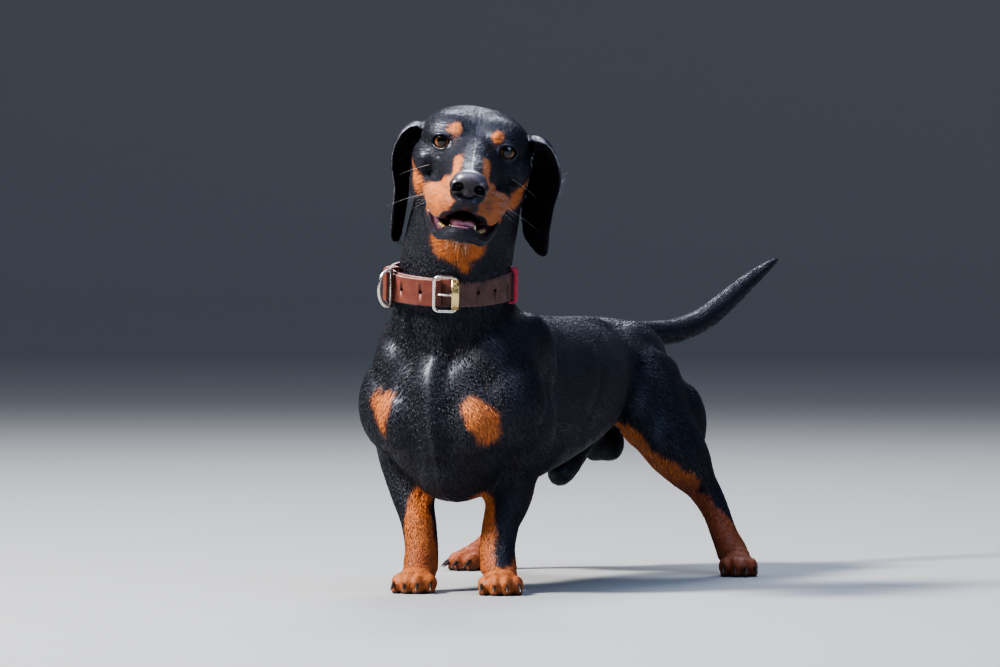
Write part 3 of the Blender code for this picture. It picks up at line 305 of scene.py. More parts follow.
class Clay:
    """Overlapping closed lumps in one mesh, each placed by a matrix, ready to be fused."""

    def __init__(self, matrix=None):
        self.matrix = matrix or Matrix()
        self.points = []
        self.faces = []

    def loft(self, rings, cyclic=False, matrix=None):
        """A closed skin over rings of points, each ring with the same count."""
        count, size, first = len(rings), len(rings[0]), len(self.points)
        flat = np.array([tuple(p) for ring in rings for p in ring], float)
        self.points.extend(placed(matrix or self.matrix, flat).tolist())
        for low in range(count if cyclic else count - 1):
            high = (low + 1) % count
            for i in range(size):
                j = (i + 1) % size
                a, b = first + low * size, first + high * size
                self.faces.append((a + i, a + j, b + j, b + i))
        if not cyclic:
            self.faces.append(tuple(first + i for i in reversed(range(size))))
            self.faces.append(tuple(first + (count - 1) * size + i for i in range(size)))

    def ball(self, centre, radii, turn=(0, 0, 0), sides=32):
        place = Matrix.LocRotScale(Vector(centre), Euler([math.radians(a) for a in turn]), Vector(radii))
        rows = sides * 2 // 3
        rings = []
        for row in range(rows + 1):
            tilt = math.pi * min(max(row / rows, POLE), 1 - POLE)
            out, up = math.sin(tilt), -math.cos(tilt)
            rings.append([(out * c, out * s, up) for c, s in circle(sides)])
        self.loft(rings, matrix=self.matrix @ place)

    def pair(self, centre, radii, turn=(0, 0, 0)):
        """The same ball on the left side and mirrored on the right."""
        self.ball(centre, radii, turn)
        self.ball((-centre[0], *centre[1:]), radii, (turn[0], -turn[1], -turn[2]))

    def lumps(self, rows):
        """Balls of centre, radii and turn in degrees, made on both sides where x isn't 0."""
        for centre, radii, *turn in rows:
            make = self.pair if centre[0] else self.ball
            make(centre, radii, *turn)

    def barrel(self, stations, steps=5, sides=36, power=2.3):
        """A body along Y from stations (y, x, widest z, half width, top z, bottom z)."""
        rings = []
        for y, x, middle, half, top, bottom in catmull_rom(stations, steps):
            ring = []
            for c, s in circle(sides):
                rise = power_of(-s, 2 / power)
                reach = top - middle if rise > 0 else middle - bottom
                ring.append((x + power_of(c, 2 / power) * max(half, 0.3 * MM), y, middle + rise * reach))
            rings.append(ring)
        self.loft(rings)

    def limb(self, stations, steps=5, sides=28, side=(1, 0, 0)):
        """A tapered limb through stations (x, y, z, radius across, radius fore and aft)."""
        rows = catmull_rom(stations, steps)
        tangents = np.gradient(rows[:, :3], axis=0)
        rings = []
        for row, tangent in zip(rows, tangents):
            along = Vector(tangent).normalized()
            across = (Vector(side) - along * along.dot(Vector(side))).normalized()
            fore = along.cross(across)
            centre = Vector(row[:3])
            rings.append([centre + across * c * row[3] + fore * s * row[4] for c, s in circle(sides)])
        self.loft(rings)

    def both_sides(self, stations):
        for sign in (-1, 1):
            self.limb([(sign * x, y, z, across, height) for x, y, z, across, height in stations])

    def mesh(self, name):
        made = bpy.data.meshes.new(name)
        made.from_pydata(self.points, [], self.faces)
        return made

    def solid(self, name):
        """The lumps as an object whose faces all look outwards."""
        bm = bmesh.new()
        bm.from_mesh(self.mesh(name))
        return object_from(name, mesh_from(name, bm))

    def cut(self, obj, solver="EXACT", overlapping=False):
        """Takes the lumps away from an object."""
        return boolean(obj, self.solid("cutter"), "DIFFERENCE", solver, overlapping)


def object_from(name, mesh):
    made = bpy.data.objects.new(name, mesh)
    bpy.context.scene.collection.objects.link(made)
    return made


def mesh_from(name, bm):
    bmesh.ops.recalc_face_normals(bm, faces=bm.faces)
    mesh = bpy.data.meshes.new(name)
    bm.to_mesh(mesh)
    bm.free()
    return mesh


def settle(obj):
    """Applies every modifier of the object to its mesh."""
    bpy.context.view_layer.update()
    evaluated = obj.evaluated_get(bpy.context.evaluated_depsgraph_get())
    mesh = bpy.data.meshes.new_from_object(evaluated)
    obj.modifiers.clear()
    obj.data = mesh
    return obj


def read(items, field, width, kind=np.float32):
    """One field of a mesh's points, edges, faces or corners, as an array of rows."""
    flat = np.empty(len(items) * width, kind)
    items.foreach_get(field, flat)
    return flat.reshape(-1, width)


def points_of(mesh):
    return read(mesh.vertices, "co", 3).astype(float)


def normals_of(mesh):
    return read(mesh.vertex_normals, "vector", 3).astype(float)


def edges_of(mesh):
    return read(mesh.edges, "vertices", 2, np.int32)


def corners_of(mesh):
    """The three points of each triangle of a mesh."""
    mesh.calc_loop_triangles()
    return read(mesh.loop_triangles, "vertices", 3, np.int32)


def put_points(mesh, points):
    mesh.vertices.foreach_set("co", points.astype(np.float32).ravel())
    mesh.update()


def boolean(obj, cutter, operation, solver="EXACT", overlapping=False):
    change = obj.modifiers.new(operation, "BOOLEAN")
    change.operation, change.object, change.solver = operation, cutter, solver
    if solver == "EXACT":
        change.use_self = overlapping
    settle(obj)
    bpy.data.objects.remove(cutter)
    return obj


def voxel_remesh(obj, voxel):
    remesh = obj.modifiers.new("Fuse", "REMESH")
    remesh.mode, remesh.voxel_size = "VOXEL", voxel
    return settle(obj)


def fused(name, clay, voxel, passes, weights=None):
    """One smooth closed form from the clay's lumps. weights(points) tells how much each place is smoothed."""
    form = voxel_remesh(clay.solid(name), voxel)
    points = points_of(form.data)
    relax(form.data, 0.5 * (weights(points) if weights else np.ones(len(points))), passes)
    return form


def joined(first, others):
    """One object with the faces of all of them."""
    bm = bmesh.new()
    bm.from_mesh(first.data)
    for other in others:
        bm.from_mesh(other.data)
        bpy.data.objects.remove(other)
    bm.to_mesh(first.data)
    bm.free()
    return first


def relax(mesh, weights, passes):
    """Moves each point towards the mean of its neighbours by its weight, once for each pass."""
    points, edges = points_of(mesh), edges_of(mesh)
    count = np.bincount(edges.ravel(), minlength=len(points)).astype(float)[:, None]
    first, second, size = *edges.T, len(points)
    for _ in range(passes):
        total = [np.bincount(first, column[second], size) + np.bincount(second, column[first], size)
                 for column in points.T]
        points += weights[:, None] * (np.stack(total, 1) / count - points)
    put_points(mesh, points)


# Fine voxels where they are needed: space is magnified round the head and the paws before the lumps are fused

HEAD_LENS_CENTRE = np.array((0.052, -0.250, 0.355))
HEAD_LENS_RADIUS, HEAD_LENS_GAIN, HEAD_LENS_GIVE = 0.105, 2.7, 0.80
PAW_LENS_RADIUS, PAW_LENS_GAIN = 0.085, 1.6
REACH = np.linspace(0, 1.6, 6401)


def lens_table(kind):
    if kind == "head":
        flat = HEAD_LENS_RADIUS * HEAD_LENS_GAIN + (REACH - HEAD_LENS_RADIUS) * HEAD_LENS_GIVE
        return np.where(REACH < HEAD_LENS_RADIUS, REACH * HEAD_LENS_GAIN, np.maximum(flat, REACH))
    inside = np.clip(1 - REACH / PAW_LENS_RADIUS, 0, 1)
    return REACH * (1 + PAW_LENS_GAIN * inside**2)


LENSES = [(np.array((*at, 0.015)), lens_table("paw")) for at, _, _ in PAWS.values()]
LENSES.append((HEAD_LENS_CENTRE, lens_table("head")))


def through_lens(points, centre, start, end):
    offset = points - centre
    distance = np.linalg.norm(offset, axis=1)
    return centre + offset * (np.interp(distance, start, end) / np.maximum(distance, 1e-9))[:, None]


def magnified(points):
    for centre, table in LENSES:
        points = through_lens(points, centre, REACH, table)
    return points


def restored(points):
    for centre, table in reversed(LENSES):
        points = through_lens(points, centre, table, REACH)
    return points


def remeshed(obj, voxel):
    put_points(obj.data, magnified(points_of(obj.data)))
    voxel_remesh(obj, voxel)
    put_points(obj.data, restored(points_of(obj.data)))
    return obj


# The dog's flesh as lumps

# Lumps over the muscles of the trunk: centre, radii and turn in degrees, on both sides where x isn't 0
TRUNK_LUMPS = (
    ((0.036, -0.142, 0.196), (0.036, 0.044, 0.046), (10, 14, 0)),
    ((0.050, -0.112, 0.190), (0.024, 0.034, 0.052), (24, 10, 0)),
    ((0.052, -0.158, 0.160), (0.031, 0.040, 0.044)),
    ((0.036, -0.164, 0.192), (0.030, 0.034, 0.036), (20, 20, 0)),
    ((0.055, -0.128, 0.140), (0.025, 0.036, 0.044), (-20, 0, 0)),
    ((0.028, -0.186, 0.148), (0.028, 0.026, 0.034)),
    ((0.000, -0.188, 0.158), (0.026, 0.029, 0.050)),
    ((0.000, -0.150, 0.104), (0.036, 0.046, 0.028)),
    ((0.000, -0.112, 0.212), (0.030, 0.050, 0.032), (20, 0, 0)),
    ((0.022, 0.080, 0.214), (0.018, 0.120, 0.018)),
    ((0.034, 0.178, 0.188), (0.030, 0.054, 0.038), (-10, 0, 0)),
    ((0.032, 0.220, 0.166), (0.026, 0.026, 0.038)),
)
SHEATH = (
    (0.002, 0.170, 0.128, 0.013, 0.010),
    (0.002, 0.125, 0.112, 0.014, 0.013),
    (0.002, 0.092, 0.096, 0.0145, 0.014),
    (0.002, 0.077, 0.086, 0.010, 0.010),
)
SCROTUM_HALVES, SCROTUM_RADII = ((0.010, 0.190, 0.115), (-0.004, 0.186, 0.115)), (0.0125, 0.018, 0.018)

# Lumps of the skull, and of the brows, eyes and throat that join it to the muzzle and jaw, in millimetres
HEAD_LUMPS = (
    ((0, 56, -3.5), (50, 54, 33.5)),
    ((17.5, 34, 3), (28, 32, 23.5), (0, 0, 10)),
    ((39, 40, -18), (12.5, 34, 17)),
    ((33, 40, -36), (17, 27, 24), (12, 0, 0)),
)
FACE_LUMPS = (
    ((19, 17, 7), (13, 14, 11), (0, 0, 20)),
    (EYE_CENTRE, [EYE_RADIUS + 2.2] * 3),
    ((27, 20, -14), (14, 18, 15)),
    ((0, 30, -62), (34, 36, 22), (-10, 0, 0)),
)


def trunk_clay(clay):
    clay.barrel(TORSO)
    clay.limb(NECK, sides=36)
    clay.lumps(TRUNK_LUMPS)
    clay.limb(SHEATH)
    for centre in SCROTUM_HALVES:
        clay.ball(centre, SCROTUM_RADII)


def hindleg_stations(side):
    return [(x * HIND_SPREAD[side] + 0.008, y, z, across, fore) for x, y, z, across, fore in HINDLEG]


# Lumps of a leg: station that it hangs on, its place from there with x outwards, radii and turn in degrees
ELBOW = (1, (-0.002, 0.015, 0.006), (0.010, 0.015, 0.017), (0, 0, 0))
HINDLEG_LUMPS = (
    (1, (0.002, -0.024, -0.006), (0.022, 0.034, 0.034), (30, 0, 0)),
    (1, (0.016, 0.033, -0.022), (0.024, 0.030, 0.042), (-14, 0, 0)),
    (2, (0.000, -0.028, -0.004), (0.015, 0.017, 0.018), (0, 0, 0)),
    (4, (0.003, 0.013, -0.006), (0.0075, 0.0085, 0.012), (0, 0, 0)),
)


def leg_clay(clay, side):
    for stations, lumps in ((FORELEGS[side], (ELBOW,)), (hindleg_stations(side), HINDLEG_LUMPS)):
        clay.limb(stations)
        for at, (out, back, up), radii, turn in lumps:
            x, y, z = stations[at][:3]
            clay.ball((x + out * SIGNS[side], y + back, z + up), radii, turn)


def tail_stations():
    swing = Vector((math.sin(TAIL_SWING), math.cos(TAIL_SWING), 0))
    return [(*(TAIL_ROOT + swing * along + Vector((0, 0, rise))), radius, radius * 1.12)
            for along, rise, radius in TAIL]


def head_clay(clay):
    clay.lumps(HEAD_LUMPS)
    clay.barrel(MUZZLE)
    clay.barrel(JAW)
    clay.both_sides(UPPER_LIP)
    clay.both_sides(LOWER_LIP)
    clay.lumps(FACE_LUMPS)


def ear_rows(side):
    """The ear's sheet from fold to tip: front edge, back edge, outward normal and cup of each row."""
    rows = catmull_rom([(*front, *back) for front, back in EARS[side]], 6)
    found = []
    for number, row in enumerate(rows):
        front, back = Vector(row[:3]), Vector(row[3:])
        share = number / (len(rows) - 1)
        narrow = math.sqrt(max(0.0, 1 - max(0.0, (share - 0.90) / 0.10) ** 2)) * 0.6 + 0.4
        middle, half = (front + back) / 2, (back - front) / 2 * narrow
        ends = rows[max(0, number - 1)], rows[min(len(rows) - 1, number + 1)]
        along = Vector(ends[1][:3] + ends[1][3:]) - Vector(ends[0][:3] + ends[0][3:])
        normal = along.cross(half).normalized()
        found.append((middle, half, normal, EAR_CUP * math.sin(math.pi * min(1.0, 0.15 + share))))
    return found


def ear_clay(clay, side):
    sign = SIGNS[side]
    rings = []
    for middle, half, normal, cup in ear_rows(side):
        ring = []
        for face in (1, -1):
            for k in range(EAR_COLUMNS + 1):
                across = (2 * k / EAR_COLUMNS - 1) * face
                thick = EAR_THICK / 2 * (0.5 + 0.5 * math.sqrt(max(0.0, 1 - across**4)))
                point = middle + half * across + normal * (cup * (1 - across**2) + face * thick)
                ring.append((sign * point.x, point.y, point.z))
        rings.append(ring)
    clay.loft(rings)
    clay.ball((sign * 40, 53, 1), (11, 21, 9), (12, sign * 24, 0))


def ear_points():
    """Points over both ears' sheets in the head's frame, for measuring how near a place is to an ear."""
    found = []
    for side, sign in SIGNS.items():
        for middle, half, normal, cup in ear_rows(side)[10:]:
            for across in np.linspace(-1, 1, 9):
                point = middle + half * across + normal * (cup * (1 - across**2))
                found.append((sign * point.x, point.y, point.z))
    return np.array(found)


def paw_matrix(name):
    at, turn, _ = PAWS[name]
    return Matrix.Translation((*at, 0)) @ Matrix.Rotation(math.radians(turn), 4, "Z") @ Matrix.Scale(MM, 4)


def paw_sizes(name):
    return (1.0, 0.92) if PAWS[name][2] else (1.06, 1.04)


# Toes of a paw in millimetres: place across in toe widths, reach forward and lift
TOES = ((-1.5, 21, 0.0), (-0.5, 27, 1.2), (0.5, 27, 1.2), (1.5, 21, 0.0))
TOE_STEP, TOE_TURN = 9.0, 7


def paw_clay(clay, name):
    length, width = paw_sizes(name)
    clay.ball((0, 0, 15), (14.5 * width, 16, 13))
    clay.ball((0, -13 * length, 12), (15.5 * width, 13, 10.5))
    clay.ball((0, 2, 5), (10 * width, 9.5, 7))
    for place, reach, lift in TOES:
        x = place * TOE_STEP * width
        clay.ball((x, -reach * length, 8.5 + lift), (5.6 * width, 11, 8.4), (8, 0, -place * TOE_TURN))
        clay.ball((x * 1.02, -(reach + 3) * length, 3.0), (4.6 * width, 6.5, 4.6))


def eye_frame(sign, outward=0.36):
    """The eye's own frame, with -Y out of the pupil."""
    out = Vector((sign * outward, -1.0, 0.05))
    return frame_at((sign * EYE_CENTRE[0], EYE_CENTRE[1], EYE_CENTRE[2]), (sign * 0.12, 0, 1), out)


def almond(across, rise, size):
    """A place on the outline of the lids, drawn out at its corners, for a place on a circle."""
    half, up, down = size
    return power_of(across, 1.05) * half, power_of(rise, 1.12) * (up if rise > 0 else down)


# The opening of the eye and the outline of the lids' rounded margin: half width, height above and depth below
EYE_OPENING, LID_OUTLINE, LID_ROLL = (7.9, 5.3, 5.2), (8.7, 6.1, 6.0), 1.25


def lid_clay(clay):
    """The rounded margin of both lids, a roll that lies on the eyeball round its opening."""
    rings = []
    for step in circle(40):
        across, rise = almond(*step, LID_OUTLINE)
        flat = math.hypot(across, rise)
        centre = Vector((across, -math.sqrt((EYE_RADIUS + 0.9) ** 2 - flat**2), rise))
        outward, aside = centre.normalized(), Vector((across, 0, rise)).normalized()
        rings.append([centre + (aside * c + outward * s) * LID_ROLL for c, s in circle(10)])
    clay.loft(rings, cyclic=True)


def eye_cutter(clay):
    rings = []
    for depth, share in ((-3.0, 0.86), (-8.5, 0.98), (-24.0, 1.30)):
        outline = [almond(*step, EYE_OPENING) for step in circle(32)]
        rings.append([(across * share, depth, rise * share) for across, rise in outline])
    clay.loft(rings)


def prism(clay, outline, half_width):
    """A cutter whose outline lies in the YZ plane and which reaches half_width to both sides."""
    clay.loft([[(x, y, z) for y, z in outline] for x in (-half_width, half_width)])


# The hollow of the mouth behind the lips, as stations of a barrel
MOUTH_HOLLOW = (
    (-27, 0, -52, 9, -47, -58),
    (-41, 0, -55, 12.4, -45, -66),
    (-60, 0, -56, 12.0, -45.5, -67),
    (-71, 0, -54, 8.5, -45, -63),
    (-76, 0, -54, 4, -49, -59.5),
)


def nose_clay(clay, spare=0.0):
    clay.ball((0, -81, -21.5), (14.6 + spare, 12.0 + spare, 9.6 + spare), (-14, 0, 0))
    clay.pair((9.0, -84, -25.5), (7.4 + spare, 9.0 + spare, 7.6 + spare), (0, 0, 14))
    clay.ball((0, -84, -29.5), (6.0 + spare, 7.5 + spare, 6.2 + spare))


EAR_CLOUD = ear_points()


def ear_share(local):
    """1 on the hanging part of an ear and 0 away from it, for points in the head's frame."""
    share = np.zeros(len(local))
    near = np.where((np.abs(local[:, 0]) > 34) & (local[:, 1] > 14) & (local[:, 1] < 104) & (local[:, 2] < 40)
                    & (local[:, 2] > -120) & (np.abs(local[:, 0]) < 95))[0]
    for block in np.array_split(near, max(1, len(near) // 20000)):
        gap = np.linalg.norm(local[block][:, None, :] - EAR_CLOUD[None], axis=2).min(1)
        share[block] = 1 - smoothstep(5.0, 8.5, gap)
    return share


def body_softness(points):
    """Thin ends keep their width: feet, hocks and the tail are smoothed less than the trunk."""
    low = smoothstep(0.045, 0.10, points[:, 2])
    tail = 1 - smoothstep(0.25, 0.28, points[:, 1])
    return 0.18 + 0.82 * low * tail


BODY_VOXEL, HEAD_VOXEL, EAR_VOXEL, PAW_VOXEL, SKIN_VOXEL = 0.0024, 0.0011, 0.0009, 0.0011, 0.0026
PAW_TOP, FLOOR_GAP = 0.08, 0.0002


def make_skin():
    body = Clay()
    trunk_clay(body)
    for side in SIGNS:
        leg_clay(body, side)
    body.limb(tail_stations())
    skin = fused("skin", body, BODY_VOXEL, 22, body_softness)
    head = Clay(HEAD)
    head_clay(head)
    head.matrix = Matrix()
    head.limb(NECK, sides=36)
    face = fused("face", head, HEAD_VOXEL, 18)
    model_forms(face)
    open_face(face)
    pieces = [face]
    for side in SIGNS:
        ear = Clay(HEAD)
        ear_clay(ear, side)
        pieces.append(fused("ear", ear, EAR_VOXEL, 3))
    for name in PAWS:
        paw = Clay(paw_matrix(name))
        paw_clay(paw, name)
        paw.matrix = Matrix()
        paw.limb([row for row in limb_of(name) if row[2] < PAW_TOP])
        pieces.append(fused("paw", paw, PAW_VOXEL, 6))
    joined(skin, pieces)
    remeshed(skin, SKIN_VOXEL)
    body_forms(skin)
    points = points_of(skin.data)
    local = in_head(points)
    collar = np.exp(-(((points[:, 2] - 0.290) / 0.030) ** 2)) * (points[:, 1] < -0.05)
    ear_root = np.exp(-((local - np.array((0, 53, 6))) ** 2 / np.array((60.0, 26.0, 12.0)) ** 2).sum(1) * 1.2)
    ear_root *= np.abs(local[:, 0]) > 22
    ankle = np.exp(-(((points[:, 2] - 0.045) / 0.018) ** 2))
    relax(skin.data, 0.5 * np.clip(0.10 + collar + ear_root + ankle, 0, 0.9), 8)
    floor = Clay()
    prism(floor, ((-0.4, -0.1), (0.4, -0.1), (0.4, FLOOR_GAP), (-0.4, FLOOR_GAP)), 0.3)
    return floor.cut(skin)


def limb_of(name):
    leg = name.split("_")[1]
    return hindleg_stations(leg) if PAWS[name][2] else FORELEGS[leg]


def open_face(face):
    """Lays the margins of the lids round the eyes and cuts the openings of eyes, mouth and nose."""
    lids, cuts, hollows, seat = Clay(), Clay(), Clay(HEAD), Clay(HEAD)
    for sign in (-1, 1):
        lids.matrix = cuts.matrix = HEAD @ eye_frame(sign)
        lid_clay(lids)
        eye_cutter(cuts)
        hollows.ball((sign * EYE_CENTRE[0], EYE_CENTRE[1], EYE_CENTRE[2]), [EYE_RADIUS + 0.15] * 3)
    boolean(face, lids.solid("lids"), "UNION", "MANIFOLD")
    cuts.matrix = HEAD
    outline = [(y, top) for y, top, _ in MOUTH] + [(y, bottom) for y, _, bottom in reversed(MOUTH)]
    prism(cuts, outline, 45)
    cuts.cut(face, "MANIFOLD")
    hollows.barrel(MOUTH_HOLLOW, steps=2, sides=20)
    hollows.cut(face, "MANIFOLD")
    nose_clay(seat, -0.9)
    boolean(face, fused("seat", seat, 0.0010, 2), "DIFFERENCE", "MANIFOLD")


def model_forms(skin):
    """Pushes the larger forms of the head in or out along the skin before it is opened."""
    points, normals = points_of(skin.data), normals_of(skin.data)
    local = in_head(points)
    push = np.zeros(len(points))
    for centre, radii, amount in HEAD_FORMS:
        for sign in ((-1, 1) if centre[0] else (1,)):
            away = (local - np.array(centre) * (sign, 1, 1)) / np.array(radii)
            push += amount * np.exp(-2 * (away**2).sum(1))
    put_points(skin.data, points + normals * (push * MM)[:, None])


def body_forms(skin):
    """Grooves and hollows between the muscles, pressed into the skin along strokes."""
    points, normals = points_of(skin.data), normals_of(skin.data)
    push = np.zeros(len(points))
    forms = [(row, sign) for row in PAIRED_FORMS for sign in (1, -1)] + [(row, 1) for row in BODY_FORMS]
    for (start, end, radius, depth), sign in forms:
        start, end = np.array(start) * (sign, 1, 1), np.array(end) * (sign, 1, 1)
        along = np.clip((points - start) @ (end - start) / ((end - start) ** 2).sum(), 0, 1)
        away = np.linalg.norm(points - start - along[:, None] * (end - start), axis=1) / radius
        push = np.minimum(push, -depth * np.exp(-away**2))
    put_points(skin.data, points + normals * (push * MM)[:, None])


# Grooves of the body: two ends in metres, radius in metres and depth in millimetres
BODY_FORMS = (
    ((-0.019, -0.205, 0.237), (-0.0204, -0.201, 0.216), 0.0055, 2.2),
    ((-0.0204, -0.201, 0.216), (-0.0223, -0.203, 0.189), 0.0055, 2.6),
    ((-0.0223, -0.203, 0.189), (-0.0291, -0.206, 0.170), 0.0060, 2.4),
    ((0.031, -0.201, 0.239), (0.0214, -0.200, 0.216), 0.0065, 2.2),
    ((0.0214, -0.200, 0.216), (0.0126, -0.204, 0.190), 0.0070, 2.6),
    ((0.0126, -0.204, 0.190), (0.0114, -0.213, 0.170), 0.0080, 2.2),
    ((-0.014, -0.212, 0.160), (-0.010, -0.212, 0.132), 0.0140, 2.6),
    ((0.020, -0.212, 0.156), (0.018, -0.210, 0.132), 0.0140, 2.6),
)

# The same on both sides: the edge of the shoulder, the fold of the flank and the dip before the tail
PAIRED_FORMS = (
    ((0.0734, -0.1276, 0.2102), (0.0735, -0.1139, 0.1887), 0.0060, 1.3),
    ((0.0735, -0.1139, 0.1887), (0.0756, -0.1261, 0.1635), 0.0060, 1.5),
    ((0.0756, -0.1261, 0.1635), (0.0780, -0.1482, 0.1388), 0.0060, 1.3),
    ((0.0588, 0.0175, 0.2113), (0.0715, 0.0113, 0.1812), 0.0050, 0.9),
    ((0.0715, 0.0113, 0.1812), (0.0713, -0.0048, 0.1557), 0.0050, 1.2),
    ((0.0713, -0.0048, 0.1557), (0.0648, -0.0190, 0.1301), 0.0050, 0.9),
    ((0.0250, 0.1350, 0.2180), (0.0420, 0.1280, 0.2170), 0.0200, 4.0),
)


# Furrows and swellings of the head, on both sides where x isn't 0: centre, radii and how far the skin moves
HEAD_FORMS = (
    ((0, 18, 16), (5, 26, 14), -1.6),
    ((15, 6, 11), (8, 10, 6), 1.2),
    ((13, -2, -3), (6, 12, 7), -1.5),
    ((34, -8, -24), (10, 22, 7), -1.0),
    ((20, -50, -19), (7, 26, 6), -1.0),
    ((24, -48, -38), (9, 18, 9), 1.0),
    ((38, 30, -44), (12, 14, 14), 1.0),
    ((27, 4, -12), (10, 10, 3.0), -0.9),
    ((27, 8, 11), (10, 9, 2.6), -0.8),
    ((0, 44, 27), (7, 30, 14), -1.4),
)


# Markings

BLACK = np.array((0.0062, 0.0060, 0.0092))
TAN = np.array((0.45, 0.142, 0.028))
DEEP_TAN = np.array((0.19, 0.038, 0.012))
PALE_TAN = np.array((0.48, 0.205, 0.095))
# Paints of light and shade on the coat: a grey painted sheen of lit hair, and a brown painted shade that also
# colours the whisker spots
PAINTED_SHEEN_GREY = (0.27, 0.26, 0.31)
PAINTED_SHADE_AND_SPOT_BROWN = (0.125, 0.048, 0.020)

# Strokes of tan over black in the head's frame: two ends, radius at each, amount, soft edge, both sides
HEAD_STROKES = (
    ((17.6, 4, 10.5), (18.4, 6, 12.5), 4.6, 4.9, 1.0, 2.4, True),
    ((16.5, 2, 4), (15, -2, -4), 3.4, 2.6, 0.34, 3.0, True),
    ((47, 26, -24), (40, 14, -44), 4.5, 8.0, 1.0, 4.0, True),
    ((38, 4, -48), (27, -30, -42), 8.5, 12.0, 1.0, 4.0, True),
    ((25, -36, -38), (14, -74, -34), 14.0, 14.0, 1.0, 4.0, True),
    ((12.0, -30, -7), (14.5, -76, -18), 4.4, 7.0, 0.80, 3.5, True),
    ((28, -24, -49), (21, -56, -50), 9.0, 10.0, 1.0, 2.5, True),
    ((21, -56, -50), (11, -77, -43), 10.0, 8.0, 1.0, 2.5, True),
    ((36, 0, -56), (28, 6, -74), 7.0, 8.0, 0.9, 4.0, True),
    ((-12, 10, -84), (12, 10, -84), 17.0, 15.0, 1.0, 4.5, False),
    ((0, 14, -88), (8, 19, -102), 14.0, 6.0, 0.9, 5.0, False),
    ((0, -4, 6), (0, -74, -6), 8.0, 5.5, 0.0, 3.5, False),
    ((0, -88, -36), (0, -84, -46), 5.0, 7.0, 0.35, 5.0, False),
    ((22, -44, -72), (0, -82, -68), 7.0, 8.5, 0.03, 3.0, True),
    ((16, -10, -74), (0, -40, -76), 13.0, 13.0, 0.05, 5.0, True),
)

# Painted light and shade over the coat of the head, as two ends, radius, amount, colour and both sides: a
# grey painted sheen of lit hairs on the ears, by the dog's right eye and on the forehead, and brown painted
# shade round the nose and along the lips
TONE_STROKES = (
    ((-57, 30, 4), (-66, 33, -24), 3.4, 0.9, PAINTED_SHEEN_GREY, False),
    ((-66, 33, -24), (-60, 43, -52), 3.0, 0.9, PAINTED_SHEEN_GREY, False),
    ((-60, 43, -52), (-58, 57, -96), 3.0, 0.8, PAINTED_SHEEN_GREY, False),
    ((-43, 34, 5), (-57, 30, 4), 4.0, 0.7, PAINTED_SHEEN_GREY, False),
    ((57, 30, 10), (70, 30, 0), 5.0, 0.8, PAINTED_SHEEN_GREY, False),
    ((70, 30, 0), (77, 34, -22), 4.0, 0.7, PAINTED_SHEEN_GREY, False),
    ((-36, 8, -6), (-20, 2, -13), 3.0, 0.25, PAINTED_SHEEN_GREY, False),
    ((-34, 14, 8), (-18, 4, 9), 2.0, 0.20, PAINTED_SHEEN_GREY, False),
    ((-3, 34, 22), (-1, 4, 5), 9.0, 0.14, PAINTED_SHEEN_GREY, False),
    ((-24, 18, 14), (-30, 4, -4), 4.0, 0.12, PAINTED_SHEEN_GREY, False),
    ((15, -72, -42), (4, -84, -42), 8.0, 0.75, PAINTED_SHADE_AND_SPOT_BROWN, True),
    ((28, -30, -50), (19, -62, -52), 4.0, 0.65, PAINTED_SHADE_AND_SPOT_BROWN, True),
    ((16, -66, -28), (18, -50, -36), 4.0, 0.30, PAINTED_SHADE_AND_SPOT_BROWN, True),
    ((38, 6, -38), (30, -22, -32), 3.0, 0.45, PAINTED_SHADE_AND_SPOT_BROWN, True),
)

# Strokes of tan on the body, in metres: two ends, radius at each, amount, soft edge
BODY_STROKES = (
    ((-0.0490, -0.201, 0.163), (-0.0460, -0.204, 0.141), 0.0110, 0.0062, 1.0, 0.007),
    ((-0.0410, -0.206, 0.166), (-0.0450, -0.205, 0.158), 0.0070, 0.0090, 1.0, 0.006),
    ((0.0360, -0.206, 0.160), (0.0520, -0.201, 0.136), 0.0085, 0.0110, 1.0, 0.007),
    ((0.0450, -0.204, 0.152), (0.0470, -0.203, 0.146), 0.0125, 0.0125, 1.0, 0.006),
    ((-0.028, -0.160, 0.080), (-0.030, -0.170, 0.030), 0.014, 0.022, 1.0, 0.004),
    ((-0.032, -0.170, 0.016), (-0.028, -0.185, 0.010), 0.030, 0.034, 1.0, 0.004),
    ((0.024, -0.150, 0.074), (0.030, -0.155, 0.040), 0.014, 0.018, 1.0, 0.004),
    ((0.040, -0.170, 0.016), (0.050, -0.190, 0.010), 0.028, 0.034, 1.0, 0.004),
    ((-0.052, -0.132, 0.090), (-0.052, -0.146, 0.040), 0.013, 0.013, 0.0, 0.004),
    ((0.057, -0.156, 0.095), (0.056, -0.168, 0.038), 0.019, 0.016, 0.0, 0.004),
    ((0.045, 0.120, 0.116), (0.086, 0.156, 0.080), 0.024, 0.020, 1.0, 0.004),
    ((0.080, 0.176, 0.080), (0.118, 0.182, 0.030), 0.012, 0.020, 1.0, 0.004),
    ((0.120, 0.180, 0.020), (0.146, 0.156, 0.010), 0.024, 0.030, 1.0, 0.004),
    ((0.092, 0.218, 0.080), (0.126, 0.206, 0.044), 0.012, 0.008, 0.0, 0.004),
    ((-0.029, 0.120, 0.116), (-0.068, 0.156, 0.080), 0.024, 0.020, 1.0, 0.004),
    ((-0.062, 0.176, 0.080), (-0.096, 0.182, 0.030), 0.012, 0.020, 1.0, 0.004),
    ((-0.102, 0.180, 0.020), (-0.126, 0.156, 0.010), 0.024, 0.030, 1.0, 0.004),
    ((-0.072, 0.218, 0.080), (-0.104, 0.206, 0.044), 0.012, 0.008, 0.0, 0.004),
    ((0.006, 0.246, 0.190), (0.006, 0.248, 0.180), 0.013, 0.012, 1.0, 0.004),
)


